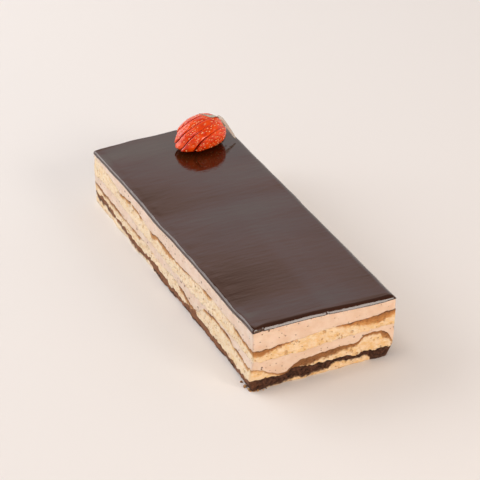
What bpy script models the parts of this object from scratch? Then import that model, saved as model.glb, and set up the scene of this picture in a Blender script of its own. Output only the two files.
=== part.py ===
"""An opera cake: a long block of coffee-soaked sponges, coffee buttercream, ganache and a chocolate glaze,
with a fan-cut strawberry on top.

Metres, +Z up. The cake is long along Y, its front end faces -Y, and the origin lies under the middle of its
box, on the surface that it stands on. The layers are worked out in millimetres from the cake's front left
corner, across and along, and moved to the origin as each mesh is made.
"""

import math

import bmesh
import bpy
from mathutils import Matrix, Vector, noise

MM = 0.001

# The block
WIDTH = 85.0
LENGTH = 226.0
GAP = 0.3  # between pieces that touch
THINNEST = 0.9  # a layer is nowhere thinner than this
ACROSS = (0, 6, 11.5, 17, 23, 31, 43, 55, 62, 67.5, 74, 80, 85)  # where a layer's mesh has a row
ROWS_ALONG = 18
ROW_CROWDING = 0.03  # how far the rows are drawn towards the front and the back, as a share of the length

# The glaze
RIM = 1.0  # radius of its rounded rim

# How the walls stray from upright
TAPER = 4.6  # the lower front right corner is drawn in by this much
TAPER_HEIGHT = 15.0
CORNER_BULGE = 2.2  # the lower front left corner spreads by this much
BULGE_HEIGHT = 7.0
BULGE_SPAN = 7.0
CORNER_REACH = 38.0  # how far along the sides the two corners fade out
WALL_WAVER = 0.45
SIDE_SPAN, FRONT_SPAN, UP_SPAN = 21.0, 18.0, 9.0  # millimetres that the waver takes along and up a wall
SIDE_WAVER, FRONT_WAVER = 4.4, 7.9  # which waver of many the sides and the front have
WARP_DEPTH = 16.0  # how far into the block a wall's waver reaches

# The strawberry
BERRY_LENGTH = 30.5
BERRY_HALF_WIDTH = 12.2
BERRY_HALF_HEIGHT = 8.3
BERRY_CENTRE = (59.8, 202.6)
BERRY_FLAT = 0.35  # shaved off the underside, where it rests
BERRY_TURN = math.radians(17)  # its tip-to-calyx line, from +X towards +Y
BERRY_STATIONS, BERRY_SIDES = 17, 18
TIP_POWER = 0.50  # a smaller power makes that end of the berry blunter
END_POWER = 0.26
TALL_POWER = 0.8  # the berry keeps its height further towards its ends than its width
TIP_DROP = 0.4  # how far the tapering tip sinks towards the glaze, as a share of what it tapers
SLICES = (  # (width, degrees turned about the calyx end, how far slid towards the tip), from the back
    (5.6, -3.0, 0.8),
    (4.6, 0.5, 1.0),
    (4.4, 4.0, 1.6),
    (4.6, 7.5, 2.4),
    (5.6, 11.0, 2.0),
)
FAN_PIVOT = 0.93  # share of the length that the slices turn about
SLICE_ROLL = math.radians(24)  # how far the berry is rolled about its length, so that its slices lean
CORE_PLACE = 0.8  # share of the length where the uncut core that holds them together lies
CORE_RADII = (5.0, 9.0, 6.0)
SEPAL_THICK = 0.7
SEPAL_STEPS = 6
SEPAL_ROOT = 0.6  # how far out from the calyx's middle a sepal starts
SEPAL_CURL = 1.4  # radians of bend at its tip for a bend of 1
HUB_RADII, HUB_DEPTH, HUB_SIDES = (3.0, 1.6), 2.0, 12
STUB_RADII, STUB_DEPTH, STUB_SIDES, STUB_OUT = (1.0, 0.85), 3.0, 10, 1.8
SEPALS = (  # (angle round the calyx in degrees, length, width, how far it bends back over the berry)
    (25, 12.5, 4.2, 0.25),
    (80, 6.5, 3.4, -0.2),
    (140, 6.0, 3.2, 0.0),
    (211, 15.5, 3.4, -0.05),
    (268, 6.5, 3.4, -0.3),
    (325, 8.0, 3.6, -0.2),
)
CALYX_OFF = 2.6  # from the berry's end to the middle of the calyx

# Heights of the faces between layers, as (distance, height). FRONT runs from the left corner to the right,
# LEFT from the front corner to the back.
FRONT = {
    "glaze_top": ((0, 38.8), (25, 39.1), (42, 39.0), (55, 38.4), (67, 37.9), (85, 37.6)),
    "glaze_foot": ((0, 36.4), (25, 37.0), (42, 36.9), (55, 36.2), (67, 35.6), (76, 35.4), (85, 35.8)),
    "upper_cream_foot": ((0, 25.2), (8, 24.7), (17, 25.5), (30, 26.0), (42, 27.5), (64, 27.7), (85, 29.4)),
    "upper_sponge_foot": ((0, 18.0), (10, 17.7), (30, 17.8), (45, 18.9), (65, 19.6), (85, 20.1)),
    "lower_cream_foot": (
        (0, 13.7), (4, 13.1), (9, 10.6), (13, 8.1), (17, 6.9), (21, 8.2), (26, 10.9), (31, 12.9),
        (43, 13.5), (55, 13.8), (62, 14.4), (67, 17.6), (72, 17.8), (78, 17.0), (81, 14.6), (85, 8.4),
    ),
    "lower_sponge_foot": (
        (0, 6.7), (11, 6.7), (17, 6.0), (23, 7.8), (28, 8.6), (36, 7.5), (55, 6.8), (61, 5.7),
        (67, 7.0), (75, 5.8), (85, 6.0),
    ),
    "ganache_foot": ((0, 2.4), (20, 2.6), (45, 3.2), (50, 5.0), (60, 3.7), (66, 5.1), (73, 2.8), (85, 1.9)),
}
LEFT = {
    "glaze_top": ((0, 38.8), (30, 37.6), (65, 38.1), (100, 37.5), (135, 36.6), (165, 36.9), (200, 36.4),
                  (226, 35.2)),
    "glaze_foot": ((0, 36.4), (35, 35.2), (65, 36.0), (90, 35.5), (120, 34.7), (135, 34.0), (165, 34.7),
                   (200, 34.0), (226, 33.0)),
    "upper_cream_foot": (
        (0, 25.2), (12, 25.5), (24, 27.5), (45, 27.7), (56, 28.6), (75, 27.1), (112, 25.4), (126, 26.5),
        (136, 25.5), (152, 26.9), (170, 29.0), (184, 27.0), (200, 30.4), (226, 31.2),
    ),
    "upper_sponge_foot": (
        (0, 18.0), (45, 18.7), (95, 16.8), (130, 17.2), (165, 18.0), (200, 20.2), (226, 19.4)
    ),
    "lower_cream_foot": (
        (0, 13.7), (6, 12.8), (15, 14.2), (24, 14.3), (33, 16.8), (50, 17.6), (62, 16.2), (68, 12.0),
        (74, 8.0), (82, 8.2), (92, 10.5), (108, 12.0), (125, 10.8), (145, 13.0), (165, 12.3), (226, 14.4),
    ),
    "lower_sponge_foot": (
        (0, 6.7), (8, 4.7), (20, 3.9), (45, 4.7), (70, 4.8), (77, 6.2), (95, 3.9), (108, 3.7), (120, 5.6),
        (133, 6.6), (148, 5.3), (180, 5.9), (212, 8.6), (226, 7.8),
    ),
    "ganache_foot": (
        (0, 2.4), (10, 1.3), (115, 1.3), (130, 1.7), (145, 3.0), (165, 2.4), (180, 4.2), (226, 6.2)
    ),
}
BACK_RIGHT = {
    "glaze_top": 37.4,
    "glaze_foot": 35.2,
    "upper_cream_foot": 28.6,
    "upper_sponge_foot": 19.6,
    "lower_cream_foot": 13.6,
    "lower_sponge_foot": 7.4,
    "ganache_foot": 4.6,
}
CORNER_DROP = 18.0  # how far along the back the drooping left corner reaches
FACES = tuple(FRONT)
HIDDEN_WAVE = 1.1  # height of the waves on the right side and the back
HIDDEN_SPAN = 26.0
GLAZE_CALM = 0.25  # the share of those waves that the glaze follows
WAVE_STEP = 3.7  # sets the waves of neighbouring faces apart
RIGHT_WAVE, BACK_WAVE = 1.3, 8.1  # which waves of many the right side and the back have
SWELL = 0.6  # how far the right side takes up the mean heights between its corners


def along(points, at):
    """The height at a distance along a side, on a smooth line through its points."""
    places = [p[0] for p in points]
    heights = [p[1] for p in points]
    at = min(max(at, places[0]), places[-1])
    step = next(i for i in range(len(places) - 1) if at <= places[i + 1])
    run = places[step + 1] - places[step]
    share = (at - places[step]) / run

    def slope(i):
        if i in (0, len(places) - 1):
            return 0.0
        before = (heights[i] - heights[i - 1]) / (places[i] - places[i - 1])
        after = (heights[i + 1] - heights[i]) / (places[i + 1] - places[i])
        return 0.0 if before * after <= 0 else 2 * before * after / (before + after)

    near, far = slope(step) * run, slope(step + 1) * run
    s2, s3 = share**2, share**3
    return (
        heights[step] * (2 * s3 - 3 * s2 + 1)
        + near * (s3 - 2 * s2 + share)
        + heights[step + 1] * (3 * s2 - 2 * s3)
        + far * (s3 - s2)
    )


def wave(face, at, side):
    """A gentle wave for a hidden side, none at its ends."""
    amount = HIDDEN_WAVE * (GLAZE_CALM if face.startswith("glaze") else 1.0)
    return amount * noise.noise(Vector((at / HIDDEN_SPAN, FACES.index(face) * WAVE_STEP, side)))


def right_height(face, y):
    share = y / LENGTH
    ends = (1 - share) * FRONT[face][-1][1] + share * BACK_RIGHT[face]
    middle = 0.5 * (FRONT[face][0][1] + BACK_RIGHT[face])
    swell = math.sin(math.pi * share)
    return ends + ((middle - ends) * SWELL + wave(face, y, RIGHT_WAVE)) * swell


def back_height(face, x):
    """Along the back the face climbs from the drooping left corner within a short way."""
    drop = LEFT[face][-1][1] - BACK_RIGHT[face]
    waves = wave(face, x, BACK_WAVE) * math.sin(math.pi * x / WIDTH)
    return BACK_RIGHT[face] + drop * math.exp(-x / CORNER_DROP) + waves


def face_height(face, x, y):
    """The height of the face between two layers, stretched between its lines on the four sides."""
    u, v = x / WIDTH, y / LENGTH
    front, left = along(FRONT[face], x), along(LEFT[face], y)
    right, back = right_height(face, y), back_height(face, x)
    ends_meet = back_height(face, WIDTH) - BACK_RIGHT[face]
    right += v * ends_meet
    corners = (
        (1 - u) * (1 - v) * FRONT[face][0][1]
        + u * (1 - v) * FRONT[face][-1][1]
        + (1 - u) * v * LEFT[face][-1][1]
        + u * v * back_height(face, WIDTH)
    )
    return (1 - u) * left + u * right + (1 - v) * front + v * back - corners


def heights_at(x, y):
    """The heights of all faces at one place, from the glaze's top down, each layer at least THINNEST."""
    found = {}
    floor = 0.0
    for face in reversed(FACES):
        floor = max(face_height(face, x, y), floor + THINNEST)
        found[face] = floor
    return found


def strayed(x, y, z):
    """A point of the upright block, moved as its walls stray from upright."""
    near_left = max(0.0, 1 - x / WARP_DEPTH)
    near_right = max(0.0, 1 - (WIDTH - x) / WARP_DEPTH)
    near_front = max(0.0, 1 - y / WARP_DEPTH)
    fade = max(0.0, 1 - y / CORNER_REACH) ** 2
    waver = WALL_WAVER * noise.noise(Vector((y / SIDE_SPAN, z / UP_SPAN, SIDE_WAVER)))
    taper = TAPER * max(0.0, 1 - z / TAPER_HEIGHT) ** 2 * fade
    bulge = CORNER_BULGE * math.exp(-(((z - BULGE_HEIGHT) / BULGE_SPAN) ** 2)) * fade
    moved_x = x + near_left * (waver - bulge) - near_right * (taper + waver)
    moved_y = y + near_front * WALL_WAVER * noise.noise(Vector((x / FRONT_SPAN, z / UP_SPAN, FRONT_WAVER)))
    return moved_x, moved_y


def placed(x, y, z):
    """A point in millimetres from the front left corner, in metres from the origin."""
    return Vector((x - WIDTH / 2, y - LENGTH / 2, z)) * MM


def material(name, colour, roughness, coat=0.0):
    made = bpy.data.materials.new(name)
    made.use_nodes = True
    shader = made.node_tree.nodes["Principled BSDF"]
    shader.inputs["Base Color"].default_value = (*colour, 1)
    shader.inputs["Roughness"].default_value = roughness
    shader.inputs["Metallic"].default_value = 0.0
    shader.inputs["Coat Weight"].default_value = coat
    return made


def as_object(name, bm, finish):
    """Closes off a bmesh as an object of the scene, its faces pointing out."""
    bmesh.ops.recalc_face_normals(bm, faces=bm.faces)
    mesh = bpy.data.meshes.new(name)
    bm.to_mesh(mesh)
    bm.free()
    mesh.materials.append(finish)
    made = bpy.data.objects.new(name, mesh)
    bpy.context.scene.collection.objects.link(made)
    return made


def block_rows():
    """The places of a layer's mesh rows across and along the block, closer together at its ends."""
    steps = [i / ROWS_ALONG for i in range(ROWS_ALONG + 1)]
    return list(ACROSS), [LENGTH * (s - ROW_CROWDING * math.sin(2 * math.pi * s)) for s in steps]


def grid_faces(bm, rows):
    """Triangles with the same diagonals on every face between layers, so that neighbours never cross."""
    for a, b in zip(rows, rows[1:]):
        for i in range(len(a) - 1):
            bm.faces.new((a[i], b[i], b[i + 1]))
            bm.faces.new((a[i], b[i + 1], a[i + 1]))


def outline(rows):
    """The vertices round the edge of a grid, in order."""
    last = len(rows) - 1
    edge = list(rows[0])
    edge += [rows[j][-1] for j in range(1, last + 1)]
    edge += list(reversed(rows[last]))[1:]
    edge += [rows[j][0] for j in range(last - 1, 0, -1)]
    return edge


def layer(name, top, foot, finish, rim=0.0):
    """One layer through the whole block, between two faces, with half a gap to each neighbour."""
    bm = bmesh.new()
    xs, ys = block_rows()
    upper, lower, waist = [], [], []
    for y in ys:
        upper.append([])
        lower.append([])
        waist.append([])
        for x in xs:
            heights = heights_at(x, y)
            ground = heights[foot] if foot else 0.0
            lift = GAP / 2 if foot else 0.0
            drop = 0.0 if rim else GAP / 2
            ux, uy = strayed(x, y, heights[top])
            lx, ly = strayed(x, y, ground)
            inset_x = rim * ((x == 0) - (x == WIDTH))
            inset_y = rim * ((y == ys[0]) - (y == ys[-1]))
            upper[-1].append(bm.verts.new(placed(ux + inset_x, uy + inset_y, heights[top] - drop)))
            lower[-1].append(bm.verts.new(placed(lx, ly, ground + lift)))
            on_edge = x in (0, WIDTH) or y in (ys[0], ys[-1])
            if rim and on_edge:
                waist[-1].append(bm.verts.new(placed(ux, uy, heights[top] - rim)))
            else:
                waist[-1].append(None)
    grid_faces(bm, upper)
    grid_faces(bm, lower)
    rings = [outline(lower), outline(waist), outline(upper)] if rim else [outline(lower), outline(upper)]
    for a, b in zip(rings, rings[1:]):
        for i in range(len(a)):
            after = (i + 1) % len(a)
            bm.faces.new((a[i], a[after], b[after], b[i]))
    return as_object(name, bm, finish)


def berry_profile(share):
    """A strawberry's relative radius from its tip (0) to its calyx end (1)."""
    widest = TIP_POWER / (TIP_POWER + END_POWER)
    peak = widest**TIP_POWER * (1 - widest) ** END_POWER
    return share**TIP_POWER * (1 - share) ** END_POWER / peak


def berry_body(bm):
    """The whole berry lying along X, its tip at 0, on Z = 0, before it is cut."""
    widest = TIP_POWER / (TIP_POWER + END_POWER)
    rings = []
    for k in range(1, BERRY_STATIONS):
        share = 0.5 - 0.5 * math.cos(math.pi * k / BERRY_STATIONS)
        sunk = TIP_DROP * (1 - berry_profile(min(share, widest)) ** TALL_POWER)
        ring = []
        for i in range(BERRY_SIDES):
            turn = 2 * math.pi * i / BERRY_SIDES
            across = BERRY_HALF_WIDTH * berry_profile(share) * math.cos(turn)
            up = BERRY_HALF_HEIGHT * (1 - sunk + berry_profile(share) ** TALL_POWER * math.sin(turn))
            ring.append(bm.verts.new((share * BERRY_LENGTH, across, up)))
        rings.append(ring)
    for a, b in zip(rings, rings[1:]):
        for i in range(BERRY_SIDES):
            bm.faces.new((a[i], a[(i + 1) % BERRY_SIDES], b[(i + 1) % BERRY_SIDES], b[i]))
    for ring, x, sunk in ((rings[0], 0.0, TIP_DROP), (rings[-1], BERRY_LENGTH, 0.0)):
        end = bm.verts.new((x, 0, BERRY_HALF_HEIGHT * (1 - sunk)))
        for i in range(BERRY_SIDES):
            bm.faces.new((ring[i], ring[(i + 1) % BERRY_SIDES], end))
    bmesh.ops.recalc_face_normals(bm, faces=bm.faces)


def cut(bm, point, outward):
    """Keeps the side of a plane that its outward direction points away from, and closes the cut."""
    whole = bm.verts[:] + bm.edges[:] + bm.faces[:]
    done = bmesh.ops.bisect_plane(bm, geom=whole, plane_co=point, plane_no=outward, clear_outer=True)
    rim = [e for e in done["geom_cut"] if isinstance(e, bmesh.types.BMEdge)]
    bmesh.ops.edgeloop_fill(bm, edges=rim)


def slice_side(edge, side):
    """Where the cut at a place across the berry lies once it leans, and which way it faces."""
    lean = Vector((0, math.cos(SLICE_ROLL), math.sin(SLICE_ROLL) * BERRY_HALF_WIDTH / BERRY_HALF_HEIGHT))
    return (0, edge / math.cos(SLICE_ROLL), BERRY_HALF_HEIGHT), lean.normalized() * side


def berry_ground():
    """The height that the berry rests at, clear of the glaze all over its footprint."""
    reach = BERRY_LENGTH / 2
    steps = (-reach, 0.0, reach)
    spots = [(BERRY_CENTRE[0] + a, BERRY_CENTRE[1] + b) for a in steps for b in steps]
    return max(heights_at(x, y)["glaze_top"] for x, y in spots) + GAP


def berry_frame():
    """Takes the lying berry's own millimetres to its place on the cake, in metres."""
    lie = Matrix.Translation(Vector((*BERRY_CENTRE, berry_ground())))
    turn = Matrix.Rotation(BERRY_TURN, 4, "Z")
    middle = Matrix.Translation(Vector((-BERRY_LENGTH / 2, 0, 0)))
    to_origin = Matrix.Translation(Vector((-WIDTH / 2, -LENGTH / 2, 0)))
    return Matrix.Scale(MM, 4) @ to_origin @ lie @ turn @ middle


def joined(pieces, name):
    """Unites overlapping pieces into the first one, which takes the name."""
    whole = pieces[0]
    for other in pieces[1:]:
        union = whole.modifiers.new("join " + other.name, "BOOLEAN")
        union.operation = "UNION"
        union.object = other
        other.hide_render = True
        other.display_type = "WIRE"
    whole.name = name
    return whole


def strawberry(finish):
    """Slices cut from tip to calyx, fanned about the calyx end, where they hold together."""
    pivot = Matrix.Translation(Vector((BERRY_LENGTH * FAN_PIVOT, 0, 0)))
    edge = sum(width for width, angle, slide in SLICES) / 2
    slices = []
    for k, (width, angle, slide) in enumerate(SLICES):
        bm = bmesh.new()
        berry_body(bm)
        if k > 0:
            cut(bm, *slice_side(edge, 1))
        edge -= width
        if k < len(SLICES) - 1:
            cut(bm, *slice_side(edge, -1))
        cut(bm, (0, 0, BERRY_FLAT), (0, 0, -1))
        slid = Matrix.Translation(Vector((-slide, 0, 0)))
        turn = pivot @ Matrix.Rotation(math.radians(angle), 4, "Z") @ pivot.inverted() @ slid
        bmesh.ops.transform(bm, matrix=berry_frame() @ turn, verts=bm.verts)
        slices.append(as_object(f"slice_{k + 1}", bm, finish))
    bm = bmesh.new()
    bmesh.ops.create_uvsphere(bm, u_segments=12, v_segments=8, radius=1.0)
    middle = Matrix.Translation(Vector((BERRY_LENGTH * CORE_PLACE, 0, BERRY_HALF_HEIGHT)))
    stretched = middle @ Matrix.Diagonal((*CORE_RADII, 1))
    bmesh.ops.transform(bm, matrix=berry_frame() @ stretched, verts=bm.verts)
    return joined([as_object("core", bm, finish), *slices], "strawberry")


def sepal(name, angle, length, width, bend, finish):
    """A pointed leaf that leaves the calyx sideways and bends along the berry."""
    bm = bmesh.new()
    rings = []
    out = Vector((0, math.cos(math.radians(angle)), math.sin(math.radians(angle))))
    side = out.cross(Vector((1, 0, 0)))
    place = Vector((BERRY_LENGTH + CALYX_OFF, 0, BERRY_HALF_HEIGHT)) + out * SEPAL_ROOT
    for k in range(SEPAL_STEPS + 1):
        share = k / SEPAL_STEPS
        lean = bend * share * SEPAL_CURL
        direction = (out * math.cos(lean) - Vector((1, 0, 0)) * math.sin(lean)).normalized()
        up = direction.cross(side).normalized()
        swell = 0.55 + 0.45 * math.sin(math.pi * min(1, share * 1.6))
        half = 0.5 * width * (1 - share**2.2) ** 0.7 * swell
        half = max(half, 0.25)
        thick = SEPAL_THICK * (1 - 0.4 * share) / 2
        rings.append([
            bm.verts.new(place + side * half),
            bm.verts.new(place + up * thick),
            bm.verts.new(place - side * half),
            bm.verts.new(place - up * thick),
        ])
        place = place + direction * (length / SEPAL_STEPS)
    for a, b in zip(rings, rings[1:]):
        for i in range(4):
            bm.faces.new((a[i], a[(i + 1) % 4], b[(i + 1) % 4], b[i]))
    bm.faces.new(rings[0])
    bm.faces.new(rings[-1])
    bmesh.ops.transform(bm, matrix=berry_frame(), verts=bm.verts)
    return as_object(name, bm, finish)


def calyx(finish):
    """The sepals round a small hub, with the stub of the stalk."""
    bm = bmesh.new()
    lie = Matrix.Rotation(math.pi / 2, 4, "Y")
    centre = Matrix.Translation(Vector((BERRY_LENGTH + CALYX_OFF, 0, BERRY_HALF_HEIGHT)))
    bmesh.ops.create_cone(
        bm, cap_ends=True, segments=HUB_SIDES, radius1=HUB_RADII[0], radius2=HUB_RADII[1], depth=HUB_DEPTH,
        matrix=centre @ lie,
    )
    bmesh.ops.transform(bm, matrix=berry_frame(), verts=bm.verts)
    pieces = [as_object("hub", bm, finish)]
    bm = bmesh.new()
    bmesh.ops.create_cone(
        bm,
        cap_ends=True,
        segments=STUB_SIDES,
        radius1=STUB_RADII[0],
        radius2=STUB_RADII[1],
        depth=STUB_DEPTH,
        matrix=centre @ Matrix.Translation(Vector((STUB_OUT, 0, 0))) @ lie,
    )
    bmesh.ops.transform(bm, matrix=berry_frame(), verts=bm.verts)
    pieces.append(as_object("stub", bm, finish))
    for k, (angle, length, width, bend) in enumerate(SEPALS):
        pieces.append(sepal(f"sepal_{k + 1}", angle, length, width, bend, finish))
    return joined(pieces, "strawberry_calyx")


def main():
    for old in list(bpy.data.objects):
        bpy.data.objects.remove(old)
    cream = material("coffee buttercream", (0.78, 0.60, 0.47), 0.5)
    sponge = material("almond sponge", (0.80, 0.62, 0.34), 0.85)
    chocolate = material("chocolate glaze", (0.030, 0.014, 0.009), 0.12, 1.0)
    layer("glaze", "glaze_top", "glaze_foot", chocolate, RIM)
    layer("buttercream_top", "glaze_foot", "upper_cream_foot", cream)
    layer("sponge_top", "upper_cream_foot", "upper_sponge_foot", sponge)
    layer("buttercream_lower", "upper_sponge_foot", "lower_cream_foot", cream)
    layer("sponge_middle", "lower_cream_foot", "lower_sponge_foot", sponge)
    dark = material("dark ganache", (0.045, 0.02, 0.014), 0.5)
    layer("ganache", "lower_sponge_foot", "ganache_foot", dark)
    layer("sponge_base", "ganache_foot", None, sponge)
    strawberry(material("strawberry flesh", (0.72, 0.06, 0.02), 0.3))
    calyx(material("strawberry leaf", (0.30, 0.36, 0.18), 0.6))


main()
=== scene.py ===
"""The looks of an opera cake: cut layers of sponge and buttercream, a mirror glaze and a fanned strawberry.

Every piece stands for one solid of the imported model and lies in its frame: metres, +Z up, the cake long
along Y, its front end facing -Y, the origin on the ground under the middle of the block. The block is worked
out in millimetres from its front left corner, as the solids were, and moved to the origin as each mesh is
made.
"""

import itertools
import logging
import math
from dataclasses import dataclass, field
from enum import Enum
from typing import Any, Callable, Iterable, Sequence

import bmesh
import bpy
import numpy as np
from mathutils import Matrix, Vector, noise
from mathutils.geometry import delaunay_2d_cdt

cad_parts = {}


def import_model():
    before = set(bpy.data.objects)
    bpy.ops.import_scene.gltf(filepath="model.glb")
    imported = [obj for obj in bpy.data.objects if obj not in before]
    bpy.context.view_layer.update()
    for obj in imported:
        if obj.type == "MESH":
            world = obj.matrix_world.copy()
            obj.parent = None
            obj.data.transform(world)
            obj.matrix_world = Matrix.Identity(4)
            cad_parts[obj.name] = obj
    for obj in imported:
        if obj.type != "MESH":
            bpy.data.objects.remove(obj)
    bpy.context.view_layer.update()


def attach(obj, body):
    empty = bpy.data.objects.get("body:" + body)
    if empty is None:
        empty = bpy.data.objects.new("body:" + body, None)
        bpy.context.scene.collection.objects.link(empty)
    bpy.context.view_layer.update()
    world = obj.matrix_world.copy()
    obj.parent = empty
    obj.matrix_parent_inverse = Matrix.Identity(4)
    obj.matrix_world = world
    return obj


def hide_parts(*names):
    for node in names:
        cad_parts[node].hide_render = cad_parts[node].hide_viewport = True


log = logging.getLogger("opera cake")

MM = 0.001
WELD = 1e-6
HANDOVER = 3.0  # millimetres from a corner over which one side's looks hand over to the next
HIDDEN_STEP = 9.0  # millimetres between the points of a face that another layer hides
Array = np.ndarray
Colour = tuple[float, float, float]
Points = Sequence[tuple[float, ...]]


class Face(Enum):
    """The faces between the layers, from the top of the cake down."""

    GLAZE_TOP = 0
    GLAZE_FOOT = 1
    UPPER_CREAM_FOOT = 2
    UPPER_SPONGE_FOOT = 3
    LOWER_CREAM_FOOT = 4
    LOWER_SPONGE_FOOT = 5
    GANACHE_FOOT = 6
    GROUND = 7


class Slot(Enum):
    """The material slots of the record."""

    GLAZE = "glaze"
    BUTTERCREAM = "buttercream"
    SPONGE = "sponge"
    GANACHE = "ganache"
    STRAWBERRY = "strawberry"
    LEAF = "leaf"


# ---------------------------------------------------------------- uneven surfaces


def scattered(cells: Array, seed: int) -> Array:
    """One fixed random value from -1 to 1 for every cell of a lattice.

    Args:
        cells: Whole numbers, one row of three for each value.
        seed: Picks one of many lattices.

    Returns:
        The values, one for each row.
    """
    mixed = cells[:, 0] * 73856093 ^ cells[:, 1] * 19349663 ^ cells[:, 2] * 83492791 ^ seed * 26544357
    mixed = (mixed & 0x7FFFFFFF) * 48271 % 2147483647
    mixed = (mixed ^ (mixed >> 15)) * 69621 % 2147483647
    return (mixed & 0xFFFF) / 32767.5 - 1


def lattice(points: Array, seed: int) -> Array:
    """Smooth random values from -1 to 1 that change over one unit.

    Args:
        points: Places in space, one row for each.
        seed: Picks one of many patterns.

    Returns:
        A value for each place.
    """
    cell = np.floor(points).astype(np.int64)
    share = points - cell
    ease = share * share * (3 - 2 * share)
    total = np.zeros(len(points))
    for corner in itertools.product((0, 1), repeat=3):
        weight = np.prod(np.where(np.array(corner) == 1, ease, 1 - ease), axis=1)
        total += weight * scattered(cell + np.array(corner), seed)
    return total


def rough(points: Array, sizes: Sequence[float], seed: int) -> Array:
    """Smooth random values summed over several sizes of lump, each in step with its size.

    Args:
        points: Places in millimetres, one row for each.
        sizes: Width of the lumps in millimetres, the widest first.
        seed: Picks one of many patterns.

    Returns:
        A value for each place, about -1 to 1.
    """
    total = np.zeros(len(points))
    for k, size in enumerate(sizes):
        total += lattice(points / size, seed + 11 * k) * size
    return total / sum(sizes)


def pits(points: Array, spacing: float, widest: float, share: float, seed: int) -> Array:
    """Round bowls scattered through space, as crumb has pores.

    Args:
        points: Places in millimetres, one row for each.
        spacing: Mean distance between bowls.
        widest: Radius of the largest bowl.
        share: How many of the places that could hold a bowl have one.
        seed: Picks one of many patterns.

    Returns:
        1 in the middle of a bowl, falling to 0 at its edge and beyond.
    """
    cell = np.floor(points / spacing).astype(np.int64)
    deepest = np.zeros(len(points))
    for step in itertools.product((-1, 0, 1), repeat=3):
        near = cell + np.array(step)
        middle = [(near[:, k] + 0.5 + 0.42 * scattered(near, seed + k)) * spacing for k in range(3)]
        radius = widest * (0.6 + 0.4 * scattered(near, seed + 5))
        away = np.linalg.norm(points - np.stack(middle, axis=1), axis=1)
        held = scattered(near, seed + 7) < 2 * share - 1
        deepest = np.maximum(deepest, np.where(held, 1 - (away / radius) ** 2, 0))
    return deepest


def perlin(a: Array, b: Array, c: float) -> Array:
    """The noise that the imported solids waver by, at many places."""
    return np.array([noise.noise(Vector((p, q, c))) for p, q in zip(a, b)])


@dataclass(frozen=True)
class Line:
    """A smooth line through points given as (place, height), level at both ends."""

    points: Points

    def at(self, where: Array) -> Array:
        """The line's height at many places.

        Args:
            where: The places; those beyond an end take its height.

        Returns:
            The heights.
        """
        places, heights = (np.array(c, float) for c in zip(*self.points))
        rise = np.diff(heights) / np.diff(places)
        both = rise[:-1] * rise[1:]
        mean = np.where(both > 0, 2 * both / np.where(both > 0, rise[:-1] + rise[1:], 1), 0.0)
        slopes = np.concatenate(([0.0], mean, [0.0]))
        where = np.clip(where, places[0], places[-1])
        k = np.clip(np.searchsorted(places, where, side="left") - 1, 0, len(places) - 2)
        run = places[k + 1] - places[k]
        s = (where - places[k]) / run
        return (
            heights[k] * (2 * s**3 - 3 * s**2 + 1)
            + slopes[k] * run * (s**3 - 2 * s**2 + s)
            + heights[k + 1] * (3 * s**2 - 2 * s**3)
            + slopes[k + 1] * run * (s**3 - s**2)
        )


# ---------------------------------------------------------------- the block


@dataclass(frozen=True)
class Outline:
    """A closed line round the block, counter-clockwise from above, starting at the front left."""

    x: Array
    y: Array
    out_x: Array
    out_y: Array

    def shares(self, reach: float, width: float, length: float) -> dict[str, Array]:
        """How much each place belongs to each side, fading over a reach at the corners.

        Args:
            reach: Distance in millimetres over which one side hands over to the next.
            width: The block's width.
            length: The block's length.

        Returns:
            For each side's name, a share from 0 to 1 at each place.
        """
        away = {"front": self.y, "right": width - self.x, "back": length - self.y, "left": self.x}
        near = {side: np.exp(-((np.maximum(d, 0) / reach) ** 2)) for side, d in away.items()}
        total = sum(near.values())
        return {side: n / total for side, n in near.items()}


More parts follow.
